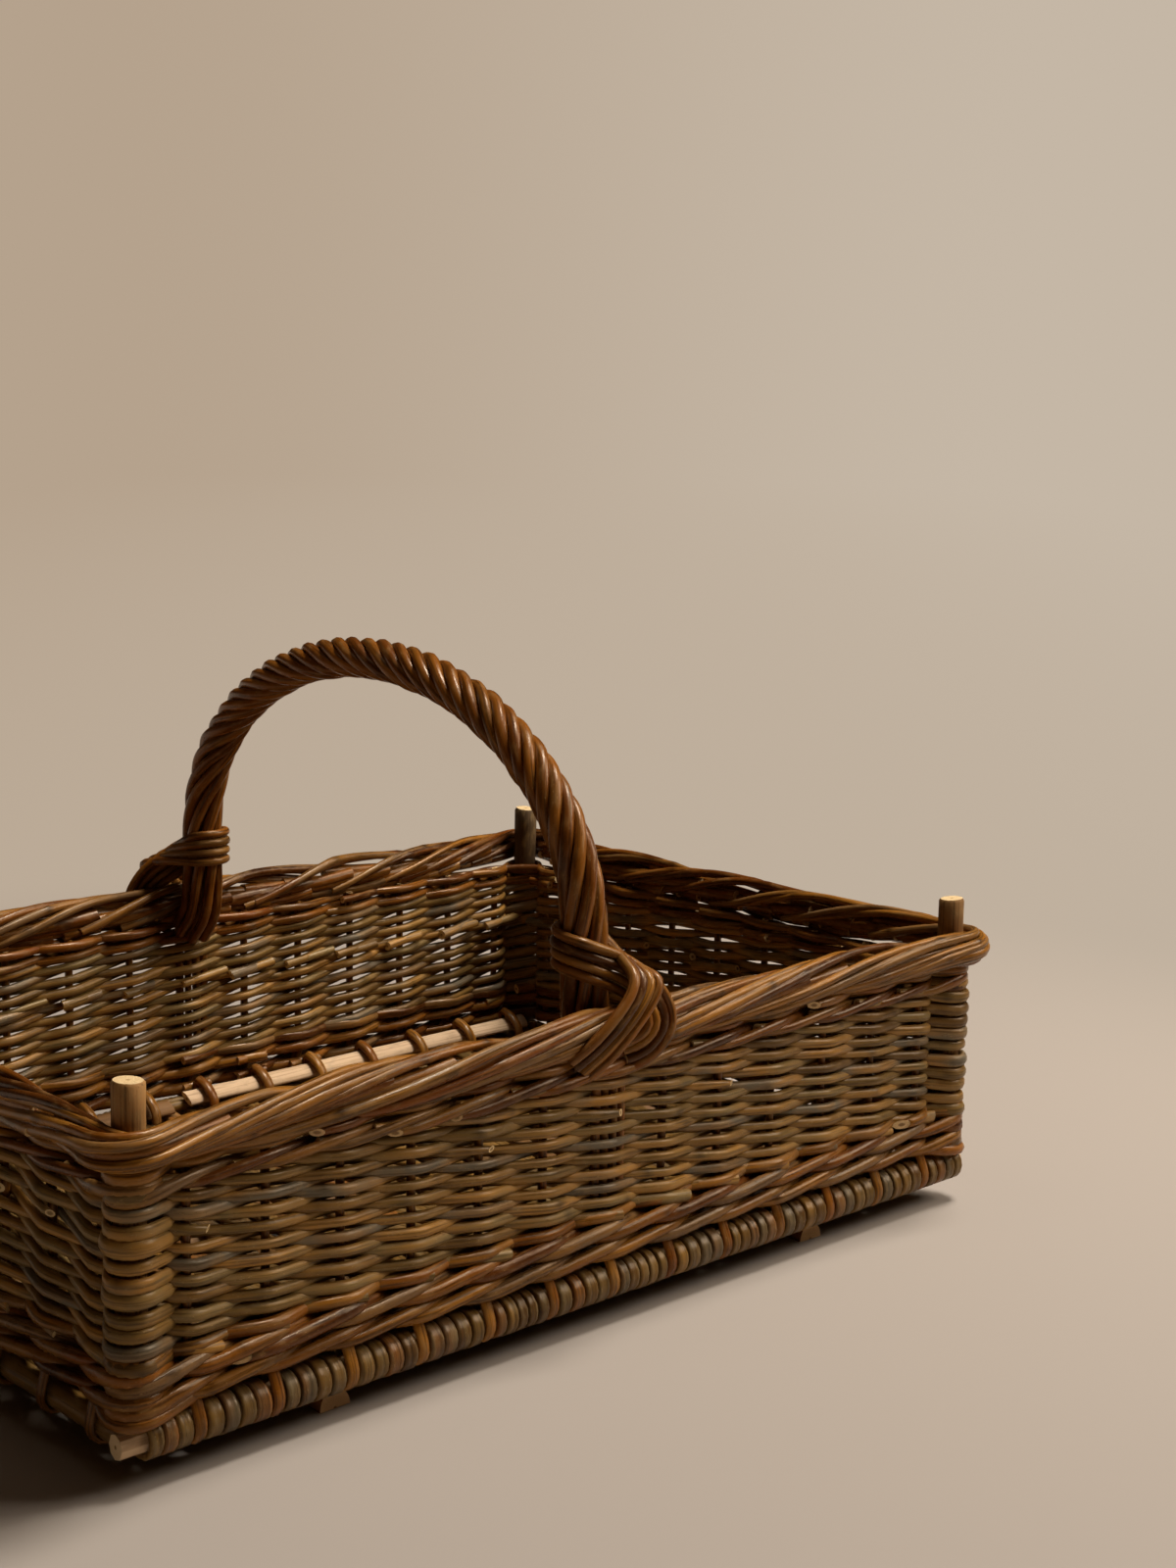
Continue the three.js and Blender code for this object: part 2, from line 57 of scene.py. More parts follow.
LOG = logging.getLogger("garden_basket")

# Noise cells per millimetre: across a rod, through it and along it.
FIBRE_CELLS = (0.9, 0.9, 0.022)
PATCH_CELLS = (0.1, 0.1, 0.03)
BLOTCH_CELLS = (0.35, 0.35, 0.12)
FLECK_CELLS = (2.4, 2.4, 0.7)

# Noise values at which a mark of the bark starts and is full.
STREAK_EDGE = (0.52, 0.36)
WEATHER_EDGE = (0.5, 0.72)
SCUFF_EDGE = (0.66, 0.76)
SCUFF_PLACES = (0.42, 0.6)
SPECK_EDGE = (0.3, 0.22)
END_GRAIN_EDGE = (0.35, 0.65)
PITH_EDGE = (1.1, 0.2)

# How strongly marks darken, roughen and raise the bark.
KNOT_SHADE = 0.6
END_GRAIN_SHADE = 0.5
PITH_SHADE = 0.8
WEATHER_ROUGHNESS = 0.18
SCUFF_ROUGHNESS = 0.2
CUT_ROUGHNESS = 0.3
COAT_ROUGHNESS = 0.25
FIBRE_HEIGHT = 0.6
FLECK_HEIGHT = 0.2
BLOTCH_HEIGHT = 0.25
KNOT_HEIGHT = 0.5
BUMP_METRES = 0.0006

# Tint of the bark's gloss, and plain black.
SHEEN = (1.0, 0.8, 0.58, 1.0)
BLACK = (0.0, 0.0, 0.0, 1.0)

# Unevenness of a rod: each wave's share of the radius and its length, how oval it is, and its knots.
WAVES = ((0.03, 23.0), (0.02, 9.5))
OVAL = 0.025
FIRST_KNOT = (8, 60)
KNOT_GAPS = (35, 90)
KNOT_LENGTH = 3.0
KNOT_SWELL = 0.15

# Dent along a pinched rod, and how far apart places in the grain and starts of a wave are drawn.
DENT = 0.7
DENT_SHARPNESS = 8
GRAIN_SPREAD = 4000
PHASE_SPAN = 6

# A rod bent round a corner post: where it flattens, how much wider and thinner it gets, and its steps.
BEND_EASE = 3
BEND_FADE = 9
BEND_WIDEN = 0.26
BEND_THIN = 0.2
CORNER_STEP = math.radians(30)

# Spacing of the points along a rod: tightly bent, woven, gently bent, straight, cleft, and when smoothed.
TIGHT_STEP = 3.0
WOVEN_STEP = 4.0
GENTLE_STEP = 5.0
STRAIGHT_STEP = 6.0
LATH_STEP = 8.0
FINE_STEP = 1.5
LEAST_POINTS = 4

Colour = tuple[float, float, float, float]
Point = tuple[float, float, float]


def node_box(*names: str) -> tuple[np.ndarray, np.ndarray]:
    """Finds the box round some CAD nodes.

    Args:
        names: Names of the nodes.

    Returns:
        Lowest and highest corner, in millimetres.
    """
    boxes = [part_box(name) for name in names]
    low = np.min([np.array(box[0]) for box in boxes], axis=0) / MM
    high = np.max([np.array(box[1]) for box in boxes], axis=0) / MM
    return low, high


def numbered(stem: str, first: int, last: int) -> list[str]:
    """Lists numbered node names.

    Args:
        stem: Name before the number.
        first: Number of the first node.
        last: Number of the last node.

    Returns:
        The names in order.
    """
    return [f"{stem}_{number}" for number in range(first, last + 1)]


SLAT_NODES = numbered("floor_slat", 1, 3)
BORDER_NODES = numbered("border_rod", 1, 3)


def linear(hex_colour: str) -> Colour:
    """Turns a display colour such as "#7a4723" into linear light.

    Args:
        hex_colour: Six hex digits after a hash.

    Returns:
        Linear red, green, blue and full alpha.
    """
    parts = [int(hex_colour[i:i + 2], 16) / 255 for i in (1, 3, 5)]
    light = [c / 12.92 if c <= 0.04045 else ((c + 0.055) / 1.055) ** 2.4 for c in parts]
    return (*light, 1.0)


class Signal:
    """A shader value that takes Python arithmetic: each operator adds a Math node."""

    def __init__(self, graph: "NodeGraph", socket: bpy.types.NodeSocket) -> None:
        """Wraps an output socket of a graph."""
        self.graph = graph
        self.socket = socket

    def _math(self, operation: str, first: "Value", second: "Value") -> "Signal":
        """Adds one Math node and returns its result."""
        node = self.graph.node("ShaderNodeMath", {"operation": operation}, {0: first, 1: second})
        return Signal(self.graph, node.outputs[0])

    def __add__(self, other: "Value") -> "Signal":
        """Gives self + other."""
        return self._math("ADD", self, other)

    def __radd__(self, other: "Value") -> "Signal":
        """Gives other + self."""
        return self._math("ADD", other, self)

    def __sub__(self, other: "Value") -> "Signal":
        """Gives self - other."""
        return self._math("SUBTRACT", self, other)

    def __rsub__(self, other: "Value") -> "Signal":
        """Gives other - self."""
        return self._math("SUBTRACT", other, self)

    def __mul__(self, other: "Value") -> "Signal":
        """Gives self * other."""
        return self._math("MULTIPLY", self, other)

    def __rmul__(self, other: "Value") -> "Signal":
        """Gives other * self."""
        return self._math("MULTIPLY", other, self)


Value = Union[Signal, float]


class NodeGraph:
    """Writes the node tree of one material."""

    def __init__(self, tree: bpy.types.NodeTree) -> None:
        """Starts an empty tree."""
        self.tree = tree
        self.tree.nodes.clear()

    def node(self, kind: str, settings: dict, inputs: dict) -> bpy.types.Node:
        """Adds a node of any type.

        Args:
            kind: Blender's name of the node type.
            settings: Properties to set first; "stops" gives a ramp's places and colours.
            inputs: Values, sockets or signals by the socket's name or number.

        Returns:
            The node.
        """
        node = self.tree.nodes.new(kind)
        for name, value in settings.items():
            if name == "stops":
                self._set_stops(node.color_ramp, value)
            else:
                setattr(node, name, value)
        for key, value in inputs.items():
            if isinstance(value, Signal):
                self.tree.links.new(value.socket, node.inputs[key])
            elif isinstance(value, bpy.types.NodeSocket):
                self.tree.links.new(value, node.inputs[key])
            else:
                node.inputs[key].default_value = value
        return node

    @staticmethod
    def _set_stops(ramp: bpy.types.ColorRamp, stops: Sequence[tuple[float, Colour]]) -> None:
        """Gives a ramp its stops.

        Args:
            ramp: Colour ramp of a node.
            stops: Place and colour of each stop, in order.
        """
        while len(ramp.elements) < len(stops):
            ramp.elements.new(1.0)
        for element, (place, colour) in zip(ramp.elements, stops):
            element.position = place
            element.color = colour

    def attribute(self, name: str) -> bpy.types.Node:
        """Reads an attribute of the mesh."""
        return self.node("ShaderNodeAttribute", {"attribute_name": name}, {})

    def split(self, vector: bpy.types.NodeSocket) -> tuple[Signal, Signal, Signal]:
        """Takes a vector apart into its three values."""
        node = self.node("ShaderNodeSeparateXYZ", {}, {0: vector})
        return tuple(Signal(self, output) for output in node.outputs)

    def noise(self, vector: bpy.types.NodeSocket, stretch: Point, detail: float) -> Signal:
        """Makes a noise that is finer across a rod than along it.

        Args:
            vector: Place on the rod, in millimetres.
            stretch: Noise cells per millimetre on each axis.
            detail: Octaves of finer noise.

        Returns:
            The noise, about 0.5 on average.
        """
        scaled = self.node("ShaderNodeVectorMath", {"operation": "MULTIPLY"}, {0: vector, 1: stretch})
        texture = self.node("ShaderNodeTexNoise", {},
                            {"Vector": scaled.outputs[0], "Scale": 1.0, "Detail": detail})
        return Signal(self, texture.outputs[0])

    def step(self, value: Signal, low: float, high: float) -> Signal:
        """Turns a value into a smooth rise, or into a fall where high is below low.

        Args:
            value: What is measured.
            low: Value at which the result is 0.
            high: Value at which the result is 1.

        Returns:
            The result, from 0 to 1.
        """
        if low > high:
            return 1.0 - self.step(value, high, low)
        node = self.node("ShaderNodeMapRange", {"interpolation_type": "SMOOTHSTEP"},
                         {0: value, 1: low, 2: high, 3: 0.0, 4: 1.0})
        return Signal(self, node.outputs[0])

    def ramp(self, value: Signal, colours: Sequence[str]) -> bpy.types.NodeSocket:
        """Blends through evenly spaced colours.

        Args:
            value: 0 for the first colour to 1 for the last.
            colours: Display colours in order.

        Returns:
            The blended colour.
        """
        last = len(colours) - 1
        stops = [(i / last, linear(colour)) for i, colour in enumerate(colours)]
        return self.node("ShaderNodeValToRGB", {"stops": stops}, {0: value}).outputs[0]

    def mix(self, share: Value, first: object, second: object) -> bpy.types.NodeSocket:
        """Blends two colours by a share from 0 to 1."""
        settings = {"data_type": "RGBA", "clamp_factor": True}
        return self.node("ShaderNodeMix", settings, {0: share, 6: first, 7: second}).outputs[2]


@dataclass(frozen=True)
class WillowFinish:
    """The bark or bare wood of one kind of willow rod."""

    name: str
    slot: str
    palette: tuple[str, ...]
    deep: str
    weathered: str
    scuffed: str
    knot: str
    wood: str
    pith: str
    streaks: float = 0.55
    weathering: float = 0.45
    scuffs: float = 0.5
    variety: float = 0.5
    roughness: float = 0.36
    roughness_swing: float = 0.3
    coat: float = 0.12
    specular: float = 0.26
    relief: float = 0.35

    def material(self) -> bpy.types.Material:
        """Gives the finish's material, which is made once.

        Returns:
            The material.
        """
        found = bpy.data.materials.get(self.name)
        if found:
            return found
        material = bpy.data.materials.new(self.name)
        material.use_nodes = True
        self._write(NodeGraph(material.node_tree))
        return material

    def _write(self, graph: NodeGraph) -> None:
        """Writes the nodes: bark colour, cut ends, gloss and relief.

        Args:
            graph: Empty node tree of the material.
        """
        grain = graph.attribute("grain").outputs["Vector"]
        tint, cut, _ = graph.split(graph.attribute("rod").outputs["Vector"])
        knot = Signal(graph, graph.attribute("knot").outputs["Fac"])
        across, through, _ = graph.split(grain)

        fibre = graph.noise(grain, FIBRE_CELLS, 3.0)
        patch = graph.noise(grain, PATCH_CELLS, 2.0)
        blotch = graph.noise(grain, BLOTCH_CELLS, 3.0)
        fleck = graph.noise(grain, FLECK_CELLS, 1.0)

        colour = graph.ramp(tint + (patch - 0.5) * self.variety, self.palette)
        colour = graph.mix(graph.step(fibre, *STREAK_EDGE) * self.streaks, colour, linear(self.deep))
        weather = graph.step(blotch, *WEATHER_EDGE) * self.weathering
        colour = graph.mix(weather, colour, linear(self.weathered))
        scuff = graph.step(fleck, *SCUFF_EDGE) * graph.step(blotch, *SCUFF_PLACES) * self.scuffs
        colour = graph.mix(scuff, colour, linear(self.scuffed))
        speck = graph.step(fleck, *SPECK_EDGE) * self.streaks
        colour = graph.mix(speck, colour, linear(self.deep))
        colour = graph.mix(knot * KNOT_SHADE, colour, linear(self.knot))

        radius_squared = across * across + through * through
        end_grain = graph.step(fleck, *END_GRAIN_EDGE) * END_GRAIN_SHADE
        end = graph.mix(end_grain, linear(self.wood), linear(self.scuffed))
        pith = graph.step(radius_squared, *PITH_EDGE) * PITH_SHADE
        end = graph.mix(pith, end, linear(self.pith))
        colour = graph.mix(cut, colour, end)

        gloss = self.roughness + (blotch - 0.5) * self.roughness_swing
        gloss = gloss + weather * WEATHER_ROUGHNESS + scuff * SCUFF_ROUGHNESS
        height = fibre * FIBRE_HEIGHT + fleck * FLECK_HEIGHT + blotch * BLOTCH_HEIGHT + knot * KNOT_HEIGHT
        bump = graph.node("ShaderNodeBump", {}, {
            "Strength": self.relief, "Distance": BUMP_METRES, "Height": height})
        shader = graph.node("ShaderNodeBsdfPrincipled", {}, {
            "Base Color": colour,
            "Roughness": gloss + cut * CUT_ROUGHNESS,
            "Normal": bump.outputs[0],
            "Coat Weight": self.coat,
            "Coat Roughness": COAT_ROUGHNESS,
            "Specular IOR Level": self.specular,
            "Specular Tint": SHEEN,
        })
        graph.node("ShaderNodeOutputMaterial", {}, {0: shader.outputs[0]})


BROWN = WillowFinish(
    name="brown_willow_bark", slot="brown_willow",
    palette=("#46250b", "#68390f", "#855018", "#704618", "#966323", "#6e5337", "#825926", "#753e11"),
    deep="#241004", weathered="#8a683c", scuffed="#c0945c", knot="#1b0b04",
    wood="#dcbd8c", pith="#6d4a2c", roughness=0.3, coat=0.06, specular=0.28,
    streaks=0.65)
OLIVE = WillowFinish(
    name="olive_willow_bark", slot="olive_willow",
    palette=("#5f4521", "#86622f", "#72592e", "#9e7439", "#7d683f", "#aa7a38", "#686050", "#8e6531"),
    deep="#2c1c0a", weathered="#8d744e", scuffed="#bf9f6a", knot="#21150a",
    wood="#e0c593", pith="#74573a", roughness=0.38, coat=0.08, weathering=0.4)
WRAP = WillowFinish(
    name="dark_olive_wrap_bark", slot="olive_willow",
    palette=("#54391a", "#755628", "#604a29", "#8b652d", "#5c4f3a", "#815224"),
    deep="#251809", weathered="#877450", scuffed="#b39a68", knot="#1c120a",
    wood="#d0b384", pith="#6d5033", roughness=0.36, coat=0.08)
POST = WillowFinish(
    name="post_bark", slot="bark_post",
    palette=("#46392a", "#6b5236", "#8f683d", "#b08450"),
    deep="#3d2a16", weathered="#94794e", scuffed="#b3956a", knot="#2c2013",
    wood="#dcc295", pith="#97754a", roughness=0.6, coat=0.0, relief=0.6)
PEELED = WillowFinish(
    name="peeled_willow_wood", slot="peeled_willow",
    palette=("#bd9c78", "#d2b592", "#c8ab8c", "#dcc3a2"),
    deep="#8b6540", weathered="#a58f77", scuffed="#dcc4a0", knot="#7b5634",
    wood="#dcc095", pith="#6b4a2a", roughness=0.58, coat=0.0, streaks=0.4, relief=0.45)
# Peeled willow again in a darker palette: painted shade for the floor slats and strips inside the basket.
SLAT_PAINTED_SHADE = WillowFinish(
    name="slat_wood_painted_shade", slot="peeled_willow",
    palette=("#7a5836", "#8d6a44", "#856548", "#98764e"),
    deep="#573a20", weathered="#83694c", scuffed="#b3926a", knot="#4a3019",
    wood="#cbaa7c", pith="#6b4a2a", roughness=0.62, coat=0.0, streaks=0.5, relief=0.45)
CLEFT = WillowFinish(
    name="cleft_runner_wood", slot="runner_willow",
    palette=("#6b3a1f", "#87502c", "#7d4526", "#96633a"),
    deep="#43200f", weathered="#8a6c50", scuffed="#b9906a", knot="#331809",
    wood="#cfa878", pith="#6d4a2c", roughness=0.55, coat=0.0)


def distances(line: np.ndarray) -> np.ndarray:
    """Measures how far along a line each of its points is.

    Args:
        line: Points, one a row.

    Returns:
        Distance of each point from the first one.
    """
    return np.concatenate([[0.0], np.cumsum(np.linalg.norm(np.diff(line, axis=0), axis=1))])


def directions(line: np.ndarray) -> np.ndarray:
    """Finds which way a line heads at each of its points.

    Args:
        line: Points, one a row.

    Returns:
        Unit vectors, one a row.
    """
    tangents = np.gradient(line, axis=0)
    return tangents / np.linalg.norm(tangents, axis=1, keepdims=True)


def resample(line: np.ndarray, step: float) -> np.ndarray:
    """Spaces the points of a line evenly.

    Args:
        line: Points, one a row.
        step: Wanted spacing.

    Returns:
        New points along the same line, ends included.
    """
    along = distances(line)
    count = max(LEAST_POINTS, int(round(along[-1] / step)) + 1)
    spots = np.linspace(0.0, along[-1], count)
    return np.stack([np.interp(spots, along, line[:, axis]) for axis in range(3)], axis=1)


def straight(start: Sequence[float], end: Sequence[float], step: float) -> np.ndarray:
    """Traces a straight line with evenly spaced points.

    Args:
        start: First point.
        end: Last point.
        step: Wanted spacing.

    Returns:
        Points of the line.
    """
    return resample(np.array([start, end]), step)


def relax(line: np.ndarray, spread: float, step: float) -> np.ndarray:
    """Rounds a taut line off as springy willow does, with its ends kept.

    Args:
        line: Corner points.
        spread: Half length over which a corner is rounded.
        step: Spacing of the returned points.

    Returns:
        Points of the smooth line.
    """
    fine_step = min(FINE_STEP, step)
    fine = resample(line, fine_step)
    reach = min(int(3 * spread / fine_step), len(fine) - 2)
    head = 2 * fine[0] - fine[1:reach + 1][::-1]
    tail = 2 * fine[-1] - fine[-reach - 1:-1][::-1]
    padded = np.concatenate([head, fine, tail])
    kernel = np.exp(-0.5 * (np.arange(-reach, reach + 1) * fine_step / spread) ** 2)
    kernel /= kernel.sum()
    smooth = [np.convolve(padded[:, axis], kernel, mode="valid") for axis in range(3)]
    return resample(np.stack(smooth, axis=1), step)


@dataclass
class Rod:
    """One willow rod: its centre line, and half its width and thickness along it."""

    line: np.ndarray
    radii: np.ndarray
    tint: float
    level: Union[np.ndarray, None] = None
    slant: float = 0.3
    knotty: float = 1.0
    start_bevel: float = 0.0
    end_bevel: float = 0.0
    pinch: float = 0.0

    @classmethod
    def tapered(cls, line: np.ndarray, butt: float, tip: float, tint: float,
                level: Union[np.ndarray, None] = None) -> "Rod":
        """Makes a round rod that thins evenly from its butt to its tip.

        Args:
            line: Centre line from butt to tip.
            butt: Radius at the start.
            tip: Radius at the end.
            tint: Place in the finish's range of colours, 0 to 1.
            level: Direction that the section's width stays turned to, if any.

        Returns:
            The rod.
        """
        radius = np.linspace(butt, tip, len(line))
        return cls(line, np.stack([radius, radius], axis=1), tint, level)


class Skin:
    """Grows the surfaces of rods into one mesh, with what their finish reads."""

    def __init__(self, rng: np.random.Generator, sides: int = 10, smooth: bool = True) -> None:
        """Starts with no rods.

        Args:
            rng: Source of the rods' unevenness.
            sides: Number of corners round a rod.
            smooth: Whether the corners are shaded away.
        """
        self.rng = rng
        self.sides = sides
        self.smooth = smooth
        self.points: list[np.ndarray] = []
        self.grain: list[np.ndarray] = []
        self.rod: list[np.ndarray] = []
        self.knot: list[np.ndarray] = []
        self.corners: list[np.ndarray] = []
        self.face_sizes: list[np.ndarray] = []
        self.count = 0

    def add(self, rod: Rod) -> None:
        """Adds one rod's skin and its two cut ends.

        Args:
            rod: The rod.
        """
        line = rod.line
        tangents = directions(line)
        along = distances(line)
        first = self._first_axes(tangents, rod.level)
        second = np.cross(tangents, first)
        angles = np.arange(self.sides) * 2 * math.pi / self.sides
        swell, knots = self._swell(along, angles, rod.knotty)
        width = rod.radii[:, :1] * swell * np.cos(angles)
        depth = rod.radii[:, 1:] * swell * self._profile(angles, rod.pinch)
        rings = line[:, None] + first[:, None] * width[..., None] + second[:, None] * depth[..., None]
        for end, bevel in ((0, rod.start_bevel), (-1, -rod.end_bevel)):
            lean = self.rng.uniform(-rod.slant, rod.slant, 2)
            shift = lean[0] * width[end] + (lean[1] + bevel) * depth[end]
            rings[end] += tangents[end] * shift[:, None]
        offset = self.rng.uniform(0, GRAIN_SPREAD)
        grain = np.stack([width, depth, np.broadcast_to(along[:, None] + offset, width.shape)], axis=2)
        marks = np.tile([rod.tint, 0.0, 0.0], (width.size, 1))
        start = self._push(rings.reshape(-1, 3), grain.reshape(-1, 3), marks, knots.ravel())
        self._skin_faces(start, len(line))
        for end in (0, -1):
            self._cap(rings[end], grain[end], rod.tint, end == 0)

    @staticmethod
    def _profile(angles: np.ndarray, pinch: float) -> np.ndarray:
        """Gives a section's depth: round, or flatter and dented as it is pinched.

        Args:
            angles: Angle of each corner of a ring.
            pinch: 0 for round, towards 1 for flat.

        Returns:
            Depth at each corner, against half the thickness.
        """
        height = np.sin(angles)
        size = np.abs(height)
        return np.sign(height) * size ** (1 - pinch) * (1 - DENT * pinch * size ** DENT_SHARPNESS)

    def _first_axes(self, tangents: np.ndarray, level: Union[np.ndarray, None]) -> np.ndarray:
        """Finds the direction of each ring's first corner.

        Args:
            tangents: Direction of the rod at each ring.
            level: Direction to stay turned to; without one it is carried along without twist.

        Returns:
            Unit vectors, one a ring.
        """
        if level is not None:
            first = level - tangents * (tangents @ level)[:, None]
            return first / np.linalg.norm(first, axis=1, keepdims=True)
        helper = np.eye(3)[np.argmin(np.abs(tangents[0]))]
        axis = np.cross(tangents[0], helper)
        axes = []
        for tangent in tangents:
            axis = axis - tangent * (axis @ tangent)
            axis = axis / np.linalg.norm(axis)
            axes.append(axis)
        return np.array(axes)

    def _swell(self, along: np.ndarray, angles: np.ndarray,
               knotty: float) -> tuple[np.ndarray, np.ndarray]:
        """Draws a rod's unevenness and its buds and side-shoot scars.

        Args:
            along: Distance of each ring from the butt.
            angles: Angle of each corner of a ring.
            knotty: Strength of the knots.

        Returns:
            Radius factor and knot mask of each ring corner.
        """
        phase = self.rng.uniform(0, 2 * math.pi, 3)
        waves = sum(size * np.sin(along / length + start) for (size, length), start in zip(WAVES, phase))
        swell = 1 + waves[:, None] + OVAL * np.cos(2 * angles + phase[2])
        knots = np.zeros(swell.shape)
        spot = self.rng.uniform(*FIRST_KNOT)
        while spot < along[-1]:
            facing = 0.5 + 0.5 * np.cos(angles - self.rng.uniform(0, 2 * math.pi))
            near = np.exp(-0.5 * ((along - spot) / KNOT_LENGTH) ** 2)[:, None]
            swell += knotty * KNOT_SWELL * near * facing
            knots = np.maximum(knots, knotty * near ** 4 * facing ** 3)
            spot += self.rng.uniform(*KNOT_GAPS)
        return swell, knots

    def _push(self, points: np.ndarray, grain: np.ndarray, marks: np.ndarray,
              knots: np.ndarray) -> int:
        """Adds vertices.

        Args:
            points: Their places.
            grain: Their places in the rod's own wood.
            marks: The rod's tint, and 1 on a cut end.
            knots: Their knot mask.

        Returns:
            Number of the first one.
        """
        start = self.count
        self.points.append(points)
        self.grain.append(grain)
        self.rod.append(marks)
        self.knot.append(knots)
        self.count += len(points)
        return start

    def _skin_faces(self, start: int, rings: int) -> None:
        """Joins neighbouring rings with four-sided faces.

        Args:
            start: Number of the first ring's first vertex.
            rings: Number of rings.
        """
        ring = start + np.arange(rings - 1)[:, None] * self.sides
        above = ring + self.sides
        side = np.arange(self.sides)[None]
        after = (side + 1) % self.sides
        faces = np.stack([ring + side, ring + after, above + after, above + side], axis=2)
        self.corners.append(faces.ravel())
        self.face_sizes.append(np.full(faces.shape[0] * faces.shape[1], 4))

    def _cap(self, ring: np.ndarray, grain: np.ndarray, tint: float, is_butt: bool) -> None:
        """Closes an end with a cut face of its own vertices.

        Args:
            ring: Corners of the end.
            grain: Their places in the rod's own wood.
            tint: The rod's tint.
            is_butt: Whether it is the rod's start, which faces backwards.
        """
        middle = ring.mean(axis=0, keepdims=True)
        heart = np.array([[0.0, 0.0, grain[0, 2]]])
        marks = np.tile([tint, 1.0, 0.0], (self.sides + 1, 1))
        start = self._push(np.concatenate([ring, middle]), np.concatenate([grain, heart]), marks,
                           np.zeros(self.sides + 1))
        side = np.arange(self.sides)
        after = (side + 1) % self.sides
        pair = (after, side) if is_butt else (side, after)
        faces = np.stack([np.full(self.sides, self.sides), *pair], axis=1)
        self.corners.append((faces + start).ravel())
        self.face_sizes.append(np.full(self.sides, 3))

    def to_object(self, name: str) -> bpy.types.Object:
        """Makes the mesh object, in metres.

        Args:
            name: Name of the piece.

        Returns:
            The object, linked to the scene.
        """
        mesh = bpy.data.meshes.new(name)
        corners = np.concatenate(self.corners)
        sizes = np.concatenate(self.face_sizes)
        mesh.vertices.add(self.count)
        mesh.vertices.foreach_set("co", (np.concatenate(self.points) * MM).ravel())
        mesh.loops.add(len(corners))
        mesh.loops.foreach_set("vertex_index", corners)
        mesh.polygons.add(len(sizes))
        mesh.polygons.foreach_set("loop_start", np.cumsum(sizes) - sizes)
        mesh.polygons.foreach_set("use_smooth", np.full(len(sizes), self.smooth))
        mesh.update(calc_edges=True)
        for label, parts in (("grain", self.grain), ("rod", self.rod)):
            attribute = mesh.attributes.new(label, "FLOAT_VECTOR", "POINT")
            attribute.data.foreach_set("vector", np.concatenate(parts).ravel())
        attribute = mesh.attributes.new("knot", "FLOAT", "POINT")
        attribute.data.foreach_set("value", np.concatenate(self.knot))
        piece = bpy.data.objects.new(name, mesh)
        bpy.context.scene.collection.objects.link(piece)
        return piece

    def place(self, name: str, finish: WillowFinish, nodes: Sequence[str]) -> None:
        """Puts the rods into the scene as one finished piece of the basket.

        Args:
            name: Name of the piece.
            finish: Bark or wood of its rods.
            nodes: CAD nodes that it stands for.
        """
        piece = self.to_object(name)
        piece.data.materials.append(finish.material())
        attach(piece, "root")
        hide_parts(*nodes)
        LOG.info("%s: %d faces for %s", name, len(piece.data.polygons), ", ".join(nodes))


class Wall(Enum):
    """The four walls, counter-clockwise from the front."""

    FRONT = (0, -1)
    RIGHT = (1, 0)
    BACK = (0, 1)
    LEFT = (-1, 0)

    @property
    def out(self) -> np.ndarray:
        """Outward direction in plan."""
        return np.array(self.value, float)

    @property
    def along(self) -> np.ndarray:
        """Direction round the basket in plan, to the right as seen from outside."""
        return np.array([-self.value[1], self.value[0]], float)

    @property
    def is_long(self) -> bool:
        """Whether it runs along the basket's length."""
        return self.value[0] == 0


@dataclass(frozen=True)
class Upright:
    """A stake or corner post in plan."""

    centre: np.ndarray
    radius: float
    wall: Wall
    is_post: bool


